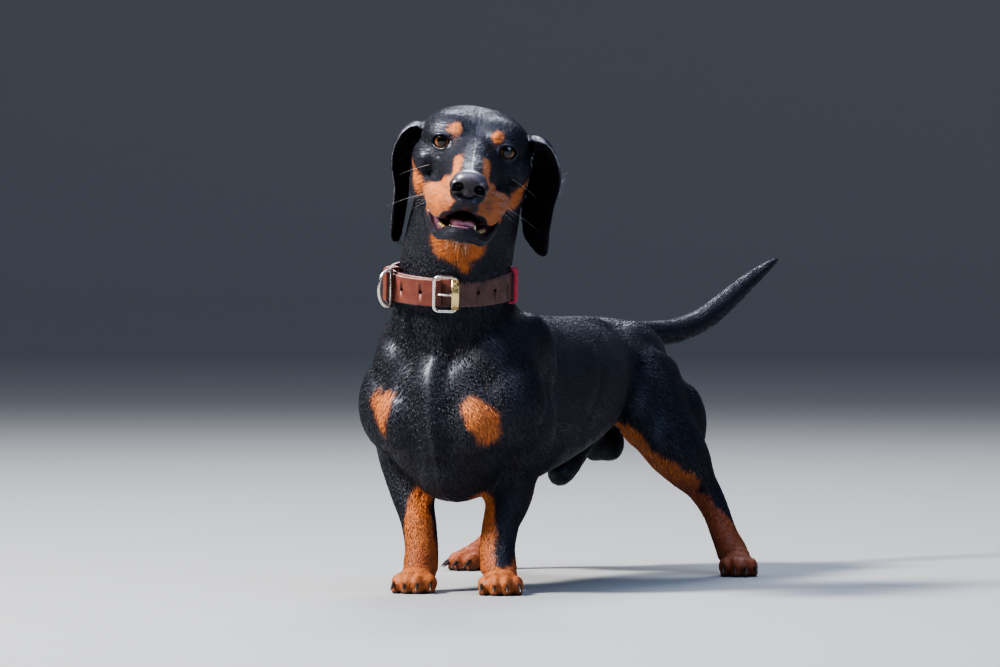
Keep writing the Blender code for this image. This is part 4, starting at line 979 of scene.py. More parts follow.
def stroke_share(points, start, end, first, last, soft):
    """1 inside a stroke and 0 outside it, with its radius changing from one end to the other."""
    start, end = np.array(start), np.array(end)
    along = end - start
    share = np.clip((points - start) @ along / max(along @ along, 1e-12), 0, 1)
    gap = np.linalg.norm(points - start - share[:, None] * along, axis=1) - (first + (last - first) * share)
    return 1 - smoothstep(-soft, soft, gap)


def wave_noise(points, scale, seed):
    """A smooth wandering value from about -1 to 1, from sines in seeded directions."""
    draw = np.random.default_rng(seed)
    total = np.zeros(len(points))
    for _ in range(9):
        direction = draw.normal(size=3)
        direction *= draw.uniform(0.6, 1.6) / np.linalg.norm(direction)
        total += np.sin(points @ direction * (2 * math.pi / scale) + draw.uniform(0, 2 * math.pi))
    return total / 4.5


# Where strokes of the head count, in its frame, and how much their edges wander for a metre on the body
HEAD_MIDDLE, HEAD_REACH, HEAD_WANDER = (0, 0, -30), 170, 900


def blended(rows, share, aim):
    """Colours or directions drawn towards an aim by a share at each point."""
    return rows + (np.array(aim) - rows) * share[:, None]


def tan_share(points):
    """How tan the coat is at working points, from 0 black to 1 tan."""
    local = in_head(points)
    local_near = np.linalg.norm(local - np.array(HEAD_MIDDLE), axis=1) < HEAD_REACH
    share = np.zeros(len(points))
    wander = wave_noise(points, 0.010, 3) * 0.0013 + wave_noise(points, 0.004, 4) * 0.0006
    moved = points + wander[:, None]
    moved_local = local[local_near] + (wander[local_near] * HEAD_WANDER)[:, None]
    head = np.zeros(int(local_near.sum()))
    for start, end, first, last, amount, soft, mirrored in HEAD_STROKES:
        for sign in ((1, -1) if mirrored else (1,)):
            flip = np.array((sign, 1, 1))
            ends = np.array(start) * flip, np.array(end) * flip
            head += (amount - head) * stroke_share(moved_local, *ends, first, last, soft)
    share[local_near] = head
    for start, end, first, last, amount, soft in BODY_STROKES:
        inside = stroke_share(moved, start, end, first, last, soft)
        share += (amount - share) * inside
    return share


def mouth_profile(y):
    rows = np.array(MOUTH[::-1], float)
    return np.interp(y, rows[:, 0], rows[:, 1]), np.interp(y, rows[:, 0], rows[:, 2])


# In millimetres: half width of the mouth's pink along it, the nose's bare pad, and how far the lids are bare
LIP_PLACES = (-90, -82, -75, -64, -50, -38, -24, 0)
LIP_WIDTHS = (3, 7, 12, 18, 22, 25, 28, 30)
NOSE_PAD, NOSE_PAD_RADII = (0, -84, -26), (19, 15, 14.5)
LID_REACH = (10.2, 7.3, 7.2)


def bare_shares(points):
    """Bare rims of the lips, the pink inside them, the lids, the pads and the nose, each from 0 to 1."""
    local = in_head(points)
    x, y, z = np.abs(local[:, 0]), local[:, 1], local[:, 2]
    top, bottom = mouth_profile(y)
    between = smoothstep(-2.2, -0.8, z - bottom) * (1 - smoothstep(0.2, 1.4, z - top))
    rim = (1 - smoothstep(-20, -16, y)) * between * (y > -100) * (x < 45)
    inner = rim * (1 - smoothstep(-4.0, -1.5, x - np.interp(y, LIP_PLACES, LIP_WIDTHS)))
    lids = np.zeros(len(points))
    half, above, below = LID_REACH
    for sign in (-1, 1):
        across, depth, rise = placed(eye_frame(sign).inverted(), local).T
        level = np.hypot(across / half, rise / np.where(rise > 0, above, below))
        lids = np.maximum(lids, (1 - smoothstep(0.93, 1.05, level)) * (depth < 0))
    pads = 1 - smoothstep(0.0012, 0.0030, points[:, 2])
    away = (local - np.array(NOSE_PAD)) / np.array(NOSE_PAD_RADII)
    nose = 1 - smoothstep(0.95, 1.06, np.linalg.norm(away, axis=1))
    return rim, inner, lids, pads, nose


CHIN_GREY = (0.055, 0.050, 0.055)
SPOT_ROWS = (5.0, 5.2)


def coat_colour(points, jitter):
    """Colour of the coat at points, as rows of red, green and blue, with a small change from tuft to tuft."""
    local = in_head(points)
    mirrored = local.copy()
    mirrored[:, 0] = np.abs(local[:, 0])
    tan = smoothstep(0.18, 0.82, np.clip(tan_share(points), 0, 1) + 0.16 * jitter)
    patchy = wave_noise(points, 0.035, 7)
    warm = np.clip(0.5 + 0.35 * patchy + 0.45 * jitter, -0.3, 1.4)[:, None]
    low = 1 - smoothstep(0.02, 0.09, points[:, 2])
    tan_colour = TAN * (0.82 + 0.36 * warm) * (1 - 0.12 * low)[:, None]
    pale = 0.55 * stroke_share(mirrored, (15, -50, -22), (12, -80, -33), 7, 9, 7)
    for across in (-0.0425, 0.042):
        patch = stroke_share(points, (across, -0.205, 0.168), (across, -0.205, 0.155), 0.004, 0.006, 0.012)
        pale = np.maximum(pale, 0.35 * patch)
    hind = smoothstep(0.08, 0.12, points[:, 1]) * (1 - smoothstep(0.07, 0.10, points[:, 2]))
    deep = np.maximum(2.4 * tan * (1 - tan), 0.45 * low * np.clip(0.5 + patchy, 0, 1))
    deep = np.maximum(deep, 0.60 * hind)
    tan_colour = blended(blended(tan_colour, pale, PALE_TAN), deep, DEEP_TAN)
    colour = blended(BLACK * (0.9 + 0.3 * warm), tan, tan_colour)
    # Painted sheen and painted shade over the head, from the tone strokes
    for start, end, radius, amount, tone, both_sides in TONE_STROKES:
        share = stroke_share(mirrored if both_sides else local, start, end, radius, radius, 4)
        share *= amount * np.clip(0.5 + 0.6 * jitter, 0, 1) * (tan if tone is PAINTED_SHADE_AND_SPOT_BROWN else 1)
        colour = blended(colour, share, tone)
    rows = np.stack([mirrored[:, 1] * 0.9 + mirrored[:, 2] * 0.25, mirrored[:, 2]], 1) / SPOT_ROWS
    spots = 1 - smoothstep(0.10, 0.24, np.linalg.norm(rows - np.round(rows), axis=1))
    pad = stroke_share(mirrored, (18, -56, -38), (14, -72, -37), 8.5, 7.5, 2)
    colour = blended(colour, 0.7 * spots * pad, np.array(PAINTED_SHADE_AND_SPOT_BROWN) * 0.5)
    chin = stroke_share(local, (9, -74, -66), (-9, -74, -66), 8, 8, 5) * 0.6
    return blended(colour, chin * np.clip(0.4 + 0.5 * jitter, 0, 1), CHIN_GREY)


# The lie of the coat

def lie_of(points):
    """The direction in which the hair lies at each point, before it is pressed onto the skin."""
    local = in_head(points)
    x, y, z = points.T
    turn = np.array(HEAD)[:3, :3].T / MM
    head = 1 - smoothstep(0.0, 26.0, local[:, 1] - 62 + 0.25 * np.minimum(0, local[:, 2] + 40))
    head *= smoothstep(0.275, 0.300, z) * (y < -0.08)
    neck = (1 - head) * smoothstep(0.190, 0.235, z) * (1 - smoothstep(-0.13, -0.06, y))
    chest = 1 - smoothstep(-0.185, -0.12, y)
    leg = (1 - smoothstep(0.09, 0.15, z)) * ((np.abs(x) > 0.02) | (y > -0.1)) * (np.abs(y - 0.02) >= 0.07)
    foot = 1 - smoothstep(0.02, 0.04, z)
    thigh = smoothstep(0.10, 0.15, y) * smoothstep(0.08, 0.12, z) * (1 - smoothstep(0.17, 0.21, z))
    tail = smoothstep(0.235, 0.255, y) * smoothstep(0.18, 0.20, z)
    ones = np.ones(len(x))
    face = np.stack([0.35 * np.sign(local[:, 0]), ones,
                     -0.15 - 0.5 * smoothstep(10, 40, np.abs(local[:, 0]))], 1) @ turn
    outward = np.sign(x)[:, None] * np.array((1, 0, 0))
    flow = np.tile((0.0, 1.0, -0.28), (len(points), 1))
    for share, aim in (
        (chest, 0.5 * outward + (0, 0.3, -1.1)),
        (neck, (0, 0.35, -1.0)),
        (leg, (0, 0.25, -1.0)),
        (foot, 0.2 * outward + (0, -1.0, -0.3)),
        (thigh, (0, 0.45, -1.0)),
        (tail, (math.sin(TAIL_SWING), math.cos(TAIL_SWING), 0.25)),
        (head, face),
        (ear_share(local), np.array((0.05, 0.18, -1.0)) @ turn),
    ):
        flow = blended(flow, share, aim)
    return flow


def unit(rows):
    return rows / np.maximum(np.linalg.norm(rows, axis=1), 1e-12)[:, None]


def streaks(mesh, flow, passes, seed):
    """A value at each point that stays alike along the lie of the coat and changes across it."""
    points, edges = points_of(mesh), edges_of(mesh)
    value = np.random.default_rng(seed).uniform(-1, 1, len(points))
    both = np.vstack([edges, edges[:, ::-1]])
    step = unit(points[both[:, 1]] - points[both[:, 0]])
    pull = np.abs((step * flow[both[:, 0]]).sum(1)) ** 6 + 0.02
    total = np.bincount(both[:, 0], pull, len(points))
    for _ in range(passes):
        mean = np.bincount(both[:, 0], pull * value[both[:, 1]], len(points)) / total
        value = 0.25 * value + 0.75 * mean
    return value / max(np.abs(value).std() * 2, 1e-9)


# Node materials

def adjust(node, values):
    for name, value in values.items():
        node.inputs[name].default_value = value


def material(name, colour, roughness, metallic=0.0):
    made = bpy.data.materials.new(name)
    made.use_nodes = True
    shader = made.node_tree.nodes["Principled BSDF"]
    adjust(shader, {"Base Color": (*colour, 1), "Roughness": roughness, "Metallic": metallic})
    made.diffuse_color = (*colour, 1)
    return made, made.node_tree, shader


def add(tree, kind, **settings):
    made = tree.nodes.new(kind)
    for key, value in settings.items():
        setattr(made, key, value)
    return made


def texture(tree, kind, scale, **settings):
    """A texture node that reads the piece's own coordinates."""
    where = add(tree, "ShaderNodeTexCoord")
    made = add(tree, kind, **settings)
    made.inputs["Scale"].default_value = scale
    tree.links.new(where.outputs["Object"], made.inputs["Vector"])
    return made


def noise(tree, scale, detail=3.0, roughness=0.55):
    made = texture(tree, "ShaderNodeTexNoise", scale)
    adjust(made, {"Detail": detail, "Roughness": roughness})
    return made.outputs["Fac"]


def mapped(tree, value, low, high, out_low, out_high):
    made = add(tree, "ShaderNodeMapRange")
    adjust(made, {"From Min": low, "From Max": high, "To Min": out_low, "To Max": out_high})
    tree.links.new(value, made.inputs["Value"])
    return made.outputs["Result"]


def mixed(tree, share, first, second, blend="MIX"):
    """A colour mix. Each of share, first and second is an output or a plain value."""
    made = add(tree, "ShaderNodeMix", data_type="RGBA", blend_type=blend)
    for socket, value in ((made.inputs[0], share), (made.inputs[6], first), (made.inputs[7], second)):
        if isinstance(value, bpy.types.NodeSocket):
            tree.links.new(value, socket)
        elif isinstance(value, (int, float)):
            socket.default_value = value
        else:
            socket.default_value = (*value, 1)
    return made.outputs[2]


def bump(tree, shader, height, strength, distance):
    made = add(tree, "ShaderNodeBump")
    adjust(made, {"Strength": strength, "Distance": distance})
    tree.links.new(height, made.inputs["Height"])
    tree.links.new(made.outputs["Normal"], shader.inputs["Normal"])


def tinted(tree, shader, layer, scale, detail, shade):
    """Gives the shader the colours of a layer of the mesh, varied a little by noise."""
    colour = add(tree, "ShaderNodeAttribute", attribute_name=layer)
    vary = mapped(tree, noise(tree, scale, detail), 0.3, 0.7, *shade)
    tree.links.new(mixed(tree, 1.0, colour.outputs["Color"], vary, "MULTIPLY"), shader.inputs["Base Color"])


COAT_GLOSS = {
    "Sheen Weight": 0.035,
    "Sheen Roughness": 0.45,
    "Sheen Tint": (0.75, 0.80, 1.0, 1),
    "Specular IOR Level": 0.75,
    "Specular Tint": (0.80, 0.84, 1.0, 1),
}


def coat_material(name, base_bump):
    made, tree, shader = material(name, (0.02, 0.02, 0.024), 0.42)
    tinted(tree, shader, "coat_colour", 900, 2, (0.82, 1.18))
    rough = add(tree, "ShaderNodeAttribute", attribute_name="coat_rough")
    tree.links.new(rough.outputs["Fac"], shader.inputs["Roughness"])
    adjust(shader, COAT_GLOSS)
    if base_bump:
        bump(tree, shader, noise(tree, 700, 4, 0.6), 0.25, 0.0005)
    return made


def give_colour(mesh, colour, layer="tint"):
    made = mesh.attributes.new(layer, "FLOAT_COLOR", "POINT")
    rgba = np.ones((len(colour), 4), np.float32)
    rgba[:, :3] = np.clip(colour, 0, 1)
    made.data.foreach_set("color", rgba.ravel())


def give_coat(mesh, colour, rough):
    give_colour(mesh, colour, "coat_colour")
    layer = mesh.attributes.new("coat_rough", "FLOAT", "POINT")
    layer.data.foreach_set("value", rough.astype(np.float32))


def finish(obj, look, replaces=()):
    obj.data.transform(Matrix.Translation(SHIFT))
    obj.data.materials.clear()
    obj.data.materials.append(look)
    obj.data.shade_smooth()
    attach(obj, "root")
    if replaces:
        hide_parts(*replaces)
    return obj


# Paints of the bare skin: rims of the lips, inside of the mouth, lids, pads and nose
BARE_PAINTS = (
    (0.030, 0.014, 0.020),
    (0.22, 0.105, 0.145),
    (0.010, 0.007, 0.008),
    (0.020, 0.017, 0.016),
    (0.018, 0.016, 0.018),
)
COAT_ROUGH, TAN_ROUGH, BARE_ROUGH = 0.50, 0.18, 0.30
RELIEF = 0.00012


def along_skin(flow, normals):
    """The flow pressed flat onto the skin, at unit length."""
    return unit(flow - normals * (flow * normals).sum(1)[:, None])


def dress_skin(skin):
    mesh = skin.data
    points, normals = points_of(mesh), normals_of(mesh)
    value = streaks(mesh, along_skin(lie_of(points), normals), 9, SEED)
    tan = smoothstep(0.2, 0.8, tan_share(points))
    shares = bare_shares(points)
    rim, _, lids, pads, nose = shares
    bare = np.clip(rim + lids + pads + nose, 0, 1)
    points = points + normals * ((value * RELIEF) * (1 - bare) - COAT_DEPTH * (1 - bare))[:, None]
    points[:, 2] = np.maximum(points[:, 2], FLOOR_GAP)
    colour = coat_colour(points, 0.5 * value)
    for share, paint in zip(shares, BARE_PAINTS):
        colour = blended(colour, share, paint)
    rough = COAT_ROUGH + 0.08 * value + TAN_ROUGH * tan
    rough += (BARE_ROUGH - rough) * bare
    put_points(mesh, points)
    give_coat(mesh, colour, rough)


# Eyes, nose, mouth and claws

def tint_material(name, roughness, shade=(0.9, 1.1), scale=700.0, coat=None):
    """A material coloured by the piece's own tint. A wet coat is given as its weight, roughness and IOR."""
    made, tree, shader = material(name, (0.5, 0.5, 0.5), roughness)
    tinted(tree, shader, "tint", scale, 3, shade)
    adjust(shader, dict(zip(("Coat Weight", "Coat Roughness", "Coat IOR"), coat or ())))
    return made, tree, shader


IRIS_RADIUS, PUPIL_RADIUS = 7.0, 3.7
EYE_COLOURS = (
    (0.0, (0.001, 0.001, 0.001)),
    (PUPIL_RADIUS - 0.20, (0.001, 0.001, 0.001)),
    (PUPIL_RADIUS + 0.35, (0.060, 0.021, 0.006)),
    (4.8, (0.240, 0.112, 0.038)),
    (5.8, (0.210, 0.090, 0.028)),
    (6.4, (0.060, 0.022, 0.008)),
    (IRIS_RADIUS, (0.008, 0.004, 0.003)),
    (7.9, (0.040, 0.020, 0.018)),
    (9.0, (0.180, 0.110, 0.095)),
    (10.6, (0.240, 0.140, 0.120)),
)


def make_eyes():
    look, _, _ = tint_material("eye_wet", 0.18, (0.92, 1.08), 1500, (1.0, 0.015, 1.45))
    rings = [radius for radius, _ in EYE_COLOURS]
    paints = np.array([paint for _, paint in EYE_COLOURS])
    for side, sign in SIGNS.items():
        ball = Clay(HEAD @ eye_frame(sign, 0.25))
        ball.ball((0, 0, 0), [EYE_RADIUS - 0.05] * 3, (90, 0, 0), 128)
        obj = object_from("eyeball_" + side, ball.mesh("eyeball_" + side))
        across, depth, rise = placed(ball.matrix.inverted(), points_of(obj.data)).T
        turn = np.arctan2(rise, across)
        flat = np.where(depth > 0, EYE_RADIUS, np.hypot(across, rise))
        colour = np.stack([np.interp(flat, rings, paint) for paint in paints.T], 1)
        fibres = 0.22 * np.sin(turn * 31 + 2 * np.sin(turn * 7)) * np.sin(flat * 2.0 + turn * 3)
        in_iris = smoothstep(PUPIL_RADIUS, 3.2, flat) * (1 - smoothstep(6.4, 7.2, flat))
        # Painted shade of the upper lid: the eye's colour darkens towards its top
        shade = 1 - 0.93 * smoothstep(-1.5, 3.5, rise)
        give_colour(obj.data, colour * ((1 + fibres * in_iris) * shade)[:, None])
        finish(obj, look, ["eye_" + side])


# Each nostril: its opening, and the slit that leads outwards from it, as centre and radii
NOSTRIL, NOSTRIL_RADII = (8.4, -93, -26.6), (4.9, 7.5, 4.1)
SLIT, SLIT_RADII = (12.8, -89.5, -29.4), (4.6, 5.5, 1.0)
NOSE_GROOVE = (
    (0, -95.5, -24, 0.7, 1.2),
    (0, -94.5, -31, 0.7, 1.5),
    (0, -91.8, -37, 0.8, 1.6),
    (0, -89.5, -42, 0.8, 1.6),
)
# The nose leather's own dark colour, and a painted light that makes its upper side paler
NOSE_DARK, NOSE_PAINTED_LIGHT = (0.034, 0.027, 0.033), (0.085, 0.074, 0.092)


def make_nose():
    clay = Clay(HEAD)
    nose_clay(clay)
    nose = fused("nose_leather_pad", clay, 0.0006, 8)
    cuts, groove = Clay(HEAD), Clay(HEAD)
    for sign in (-1, 1):
        cuts.ball((sign * NOSTRIL[0], *NOSTRIL[1:]), NOSTRIL_RADII, (0, sign * 12, -sign * 20), 24)
        cuts.ball((sign * SLIT[0], *SLIT[1:]), SLIT_RADII, (0, sign * 26, sign * 50), 20)
    cuts.cut(nose, overlapping=True)
    groove.limb(NOSE_GROOVE, sides=12)
    groove.cut(nose)
    voxel_remesh(nose, 0.00045)
    relax(nose.data, np.full(len(nose.data.vertices), 0.5), 4)
    local = in_head(points_of(nose.data))
    # Painted light: the nose leather is paler on its upper side
    colour = blended(np.array(NOSE_DARK), smoothstep(-24, -15, local[:, 2]), NOSE_PAINTED_LIGHT)
    # Painted shade in the nostrils: the leather darkens in and round their openings
    deep = np.zeros(len(local))
    for sign in (-1, 1):
        away = (local - np.array((sign * NOSTRIL[0], -90, NOSTRIL[2]))) / np.array((4.6, 6.0, 3.9))
        deep = np.maximum(deep, 1 - smoothstep(0.9, 1.05, np.linalg.norm(away, axis=1)))
    give_colour(nose.data, colour * (1 - 0.8 * deep)[:, None])
    look, tree, shader = tint_material("nose_leather_wet", 0.42, (0.8, 1.2), 500, (0.25, 0.22))
    cells = texture(tree, "ShaderNodeTexVoronoi", 900, feature="SMOOTH_F1")
    bump(tree, shader, cells.outputs["Distance"], -0.55, 0.0006)
    finish(nose, look, ["nose"])


TONGUE = (
    (-27, 0, -56, 7.0, -52.2, -60),
    (-42, 0, -58, 10.2, -52.6, -65),
    (-60, 0, -58, 10.2, -53.6, -66),
    (-69, 0, -57.5, 7.8, -54.7, -62),
    (-73, 0, -57, 3.6, -55.8, -59),
)
TONGUE_PINK, TONGUE_RIM = (0.78, 0.42, 0.50), (0.45, 0.17, 0.23)

# Side teeth from the fang back: x, y, height, radius. Those of the dog's right side stand lower.
SIDE_TEETH = (
    (9.8, -74.5, 6.6, 1.7),
    (13.0, -67, 2.6, 1.4),
    (15.0, -59.5, 2.8, 1.6),
    (16.6, -51.5, 3.0, 1.8),
    (17.6, -43, 3.0, 2.0),
)
TOOTH_SHOWN = {1: 1.0, -1: 0.6}
TOOTH_TAPER = ((0.0, 1.0), (0.35, 1.12), (0.7, 0.85), (0.92, 0.45), (1.0, 0.15))
IVORY, IVORY_ROOT = (0.66, 0.58, 0.42), (0.40, 0.28, 0.13)


def make_tongue():
    clay = Clay(HEAD)
    clay.barrel(TONGUE, steps=8, sides=48, power=2.2)
    tongue = fused("tongue_flesh", clay, 0.0006, 5)
    points = points_of(tongue.data)
    local = in_head(points)
    groove = np.exp(-((local[:, 0] / 1.6) ** 2)) * smoothstep(-58, -55, local[:, 2]) * 0.8
    put_points(tongue.data, points + np.array(HEAD)[:3, 2] * (-groove)[:, None])
    rim = smoothstep(6, 9.5, np.abs(local[:, 0]))
    give_colour(tongue.data, blended(np.array(TONGUE_PINK), rim, TONGUE_RIM))
    look, tree, shader = tint_material("tongue_wet", 0.30, (0.85, 1.15), 900, (0.5, 0.15))
    bump(tree, shader, noise(tree, 2600, 2), 0.4, 0.0004)
    finish(tongue, look, ["tongue"])


def make_teeth():
    teeth = Clay(HEAD)
    rows = [(2.1 * place, -77.2 + 0.06 * place**2, 3.6, 1.05) for place in np.arange(6) - 2.5]
    for sign in (-1, 1):
        rows += [(sign * x, y, height * TOOTH_SHOWN[sign], radius) for x, y, height, radius in SIDE_TEETH]
    for x, y, height, radius in rows:
        stations = [(x * (1 + 0.05 * share), y + 0.6 * share, -64.5 + height * 1.15 * share,
                     radius * width, radius * width) for share, width in TOOTH_TAPER]
        teeth.limb(stations, steps=3, sides=14)
    ivory = teeth.solid("lower_teeth")
    low = 1 - smoothstep(-63, -58, in_head(points_of(ivory.data))[:, 2])
    give_colour(ivory.data, blended(np.array(IVORY), low, IVORY_ROOT))
    look, _, _ = tint_material("tooth_enamel", 0.22, (0.92, 1.08), 500, (0.4,))
    finish(ivory, look)


CLAW_DARK, CLAW_TIP = (0.022, 0.017, 0.015), (0.060, 0.045, 0.036)
CLAW_GAP = 0.0003


def make_claws():
    look, tree, shader = tint_material("claw_horn", 0.30, (0.7, 1.4), 260)
    bump(tree, shader, noise(tree, 1400, 2), 0.25, 0.0003)
    for name in PAWS:
        length, width = paw_sizes(name)
        claws = Clay(paw_matrix(name))
        for place, reach, _ in TOES:
            turn = -place * math.radians(TOE_TURN)
            rings = []
            for share in np.linspace(0, 1, 12):
                radius = 2.2 * (1 - share) ** 0.6 + 0.22
                forward = reach * length + 4.0 + 11.6 * share
                middle = place * TOE_STEP * width - (forward - reach) * math.sin(turn)
                rise = 9.0 - 5.9 * share**1.7
                thick = radius * 0.85
                rings.append([(middle + thick * c, -forward, rise + radius * s) for c, s in circle(16)])
            claws.loft(rings)
        obj = claws.solid("claws_" + name)
        points = points_of(obj.data)
        points[:, 2] = np.maximum(points[:, 2], CLAW_GAP)
        put_points(obj.data, points)
        tip = 1 - smoothstep(0.002, 0.010, points[:, 2])
        give_colour(obj.data, blended(np.array(CLAW_DARK), tip, CLAW_TIP))
        finish(obj, look)


# Half width of the muzzle along it, the front edge of the left ear's fold, and how deep a hair is rooted
MUZZLE_PLACES, MUZZLE_WIDTHS = (-82, -70, -58, -34), (11, 17.5, 21, 25)
FRINGE_EDGE = ((50, 31, 9), (57, 30, 10), (69, 29, 1), (77, 33, -18), (76, 37, -34))
HAIR_ROOT, HAIR_PALE = 1.5, (0.50, 0.47, 0.44)


def make_whiskers():
    """Whiskers, brows, the bristles of the chin and a thin fringe on the left ear's fold."""
    draw = np.random.default_rng(SEED + 5)
    hairs = []
    for sign in (-1, 1):
        for row in range(3):
            for k in range(4):
                y, z = -58 + 8 * k, -30 - 5.5 * row
                x = float(np.interp(y, MUZZLE_PLACES, MUZZLE_WIDTHS)) + (0.5 if row == 1 else 0)
                aim = (sign * (1.0 + 0.2 * row), 0.05 - 0.22 * k, -0.42 - 0.16 * row)
                hairs.append(((sign * x, y, z), aim, 13 + 16 * draw.random(), 0.13))
        hairs.append(((sign * 33, -6, -44), (sign * 1.0, 0.15, -0.42), 34, 0.17))
        hairs.append(((sign * 36, 8, -22), (sign * 1.0, 0.2, -0.45), 26, 0.15))
        for k in range(4):
            brow = (sign * (20 + 2.5 * k), 6 + k, 14 + 1.0 * k)
            hairs.append((brow, (sign * 0.3, -0.8, 0.9), 9 + 4 * draw.random(), 0.10))
    for k in range(26):
        across = draw.uniform(-13, 13)
        hairs.append(((across, -80 + 0.05 * across**2 + draw.uniform(0, 7), -68 - draw.uniform(0, 6)),
                      (0.03 * across + draw.normal() * 0.15, -0.42, -1.0), draw.uniform(5, 12), 0.11))
    edge = np.array(FRINGE_EDGE, float)
    for k in range(60):
        place = (len(edge) - 1) * draw.random() ** 1.2
        root = edge[int(place)] + (edge[int(place) + 1] - edge[int(place)]) * (place % 1)
        root = root + draw.normal(size=3) * (0.8, 2.0, 0.8) + (0.5, 9.0, 0.0)
        aim = (0.55 + 0.2 * draw.normal(), 0.9, 0.35 + 0.25 * draw.normal())
        hairs.append((root, aim, draw.uniform(3, 7), 0.10))
    clay = Clay(HEAD)
    for root, aim, length, radius in hairs:
        root, aim = Vector(root), Vector(aim).normalized()
        stations = []
        for share in np.linspace(0, 1, 7):
            sag = Vector((0, 0, -0.10 * length * share**2))
            point = root - aim * HAIR_ROOT + aim * (length + HAIR_ROOT) * share + sag
            stations.append((*point, *[radius * (1 - 0.85 * share)] * 2))
        clay.limb(stations, steps=2, sides=5, side=(0.3, 0.7, 0.6))
    obj = clay.solid("whiskers")
    give_colour(obj.data, np.tile(HAIR_PALE, (len(obj.data.vertices), 1)))
    look, _, _ = tint_material("whisker_hair", 0.35, (0.8, 1.1), 200)
    finish(obj, look)


# The coat, as short thin tufts that lie along the skin

TUFT_SHARE = 2.1
PIECE_TUFTS = 48000
MAP_TRIANGLES = 9000
SOLE_TOP = 0.0012
ROOT_DEPTH = 0.00022
# Colour of each tuft at its two low points, ridge and tip: painted shade darkens the roots and painted light
# brightens the tip
TUFT_ROOT_SHADE_TIP_LIGHT = (0.75, 0.75, 1.0, 1.18)


def tuft_sizes(points):
    """Length and width of the tufts at each point, in metres, and how far their tips stand off the skin."""
    local = in_head(points)
    face = 1 - smoothstep(75, 120, np.linalg.norm(local - np.array((0, -20, -25)), axis=1))
    muzzle = 1 - smoothstep(35, 75, np.linalg.norm(local - np.array((0, -70, -35)), axis=1))
    ears = ear_share(local)
    legs = 1 - smoothstep(0.07, 0.12, points[:, 2])
    feet = 1 - smoothstep(0.025, 0.05, points[:, 2])
    length = np.full(len(points), 0.0062)
    width = np.full(len(points), 0.00085)
    for share, long, wide in ((legs, 0.0044, 0.00070), (feet, 0.0030, 0.00055), (face, 0.0036, 0.00055),
                              (muzzle, 0.0022, 0.00042), (ears, 0.0042, 0.00060)):
        length += (long - length) * share
        width += (wide - width) * share
    return length, width, 0.10 * length - 0.00008


def base_map(skin):
    """An unwrap of the skin's own shape, held by a light copy of it, to give each tuft a place on the map."""
    light = object_from("light_skin", skin.data.copy())
    thin = light.modifiers.new("Thin", "DECIMATE")
    thin.ratio = MAP_TRIANGLES / (2 * len(light.data.polygons))
    settle(light)
    bpy.ops.object.select_all(action="DESELECT")
    bpy.context.view_layer.objects.active = light
    light.select_set(True)
    bpy.ops.object.mode_set(mode="EDIT")
    bpy.ops.mesh.select_all(action="SELECT")
    bpy.ops.uv.smart_project(angle_limit=math.radians(66), island_margin=0.004)
    bpy.ops.object.mode_set(mode="OBJECT")
    mesh = light.data
    points, corners = points_of(mesh), corners_of(mesh)
    loops = read(mesh.loop_triangles, "loops", 3, np.int32)
    uv = read(mesh.uv_layers.active.data, "uv", 2)[loops]
    bpy.data.objects.remove(light)
    return points, corners, uv


def nearest(tree, points):
    """For each point, the nearest place on the tree's surface, its normal and its face."""
    places, normals, faces = np.empty_like(points), np.empty_like(points), np.empty(len(points), int)
    for i, point in enumerate(points):
        place, normal, face, _ = tree.find_nearest(point)
        places[i], normals[i], faces[i] = place, normal, face
    return places, normals, faces


def map_places(light, roots):
    """The place on the map of each root, from the corners of the light copy's nearest triangle."""
    points, corners, uv = light
    _, _, faces = nearest(BVHTree.FromPolygons(points.tolist(), corners.tolist()), roots)
    a, b, c = (points[corners[faces, k]] for k in range(3))
    ab, ac, ap = b - a, c - a, roots - a
    d00, d01, d11 = (ab * ab).sum(1), (ab * ac).sum(1), (ac * ac).sum(1)
    d20, d21 = (ap * ab).sum(1), (ap * ac).sum(1)
    area = np.maximum(d00 * d11 - d01 * d01, 1e-18)
    v, w = np.clip((d11 * d20 - d01 * d21) / area, 0, 1), np.clip((d00 * d21 - d01 * d20) / area, 0, 1)
    over = np.maximum(v + w, 1.0)
    shares = np.stack([1 - v / over - w / over, v / over, w / over], 1)
    return (uv[faces] * shares[:, :, None]).sum(1)


def tuft_roots(mesh, draw):
    """Places for the tufts, as dense as their size asks, the skin's normal at each and the skin's tree."""
    corners, points, normals = corners_of(mesh), points_of(mesh), normals_of(mesh)
    a, b, c = (points[corners[:, k]] for k in range(3))
    area = np.linalg.norm(np.cross(b - a, c - a), axis=1) / 2
    middle = (a + b + c) / 3
    length, width, _ = tuft_sizes(middle)
    rim, inner, lids, _, nose = bare_shares(middle)
    haired = 1 - np.clip(rim + lids + nose + inner, 0, 1)
    open_air = (middle[:, 2] >= SOLE_TOP) & ~under_collar(middle)
    edges = np.cumsum(TUFT_SHARE * area / (length * width) * haired * open_air)
    total = int(edges[-1])
    chosen = np.searchsorted(edges, (np.arange(total) + draw.random(total)) / total * edges[-1])
    chosen = np.minimum(chosen, len(corners) - 1)
    u, v = draw.random(total), draw.random(total)
    fold = u + v > 1
    u[fold], v[fold] = 1 - u[fold], 1 - v[fold]
    roots = a[chosen] + (b - a)[chosen] * u[:, None] + (c - a)[chosen] * v[:, None]
    tree = BVHTree.FromPolygons(points.tolist(), corners.tolist())
    return roots, unit(normals[corners[chosen]].mean(1)), tree


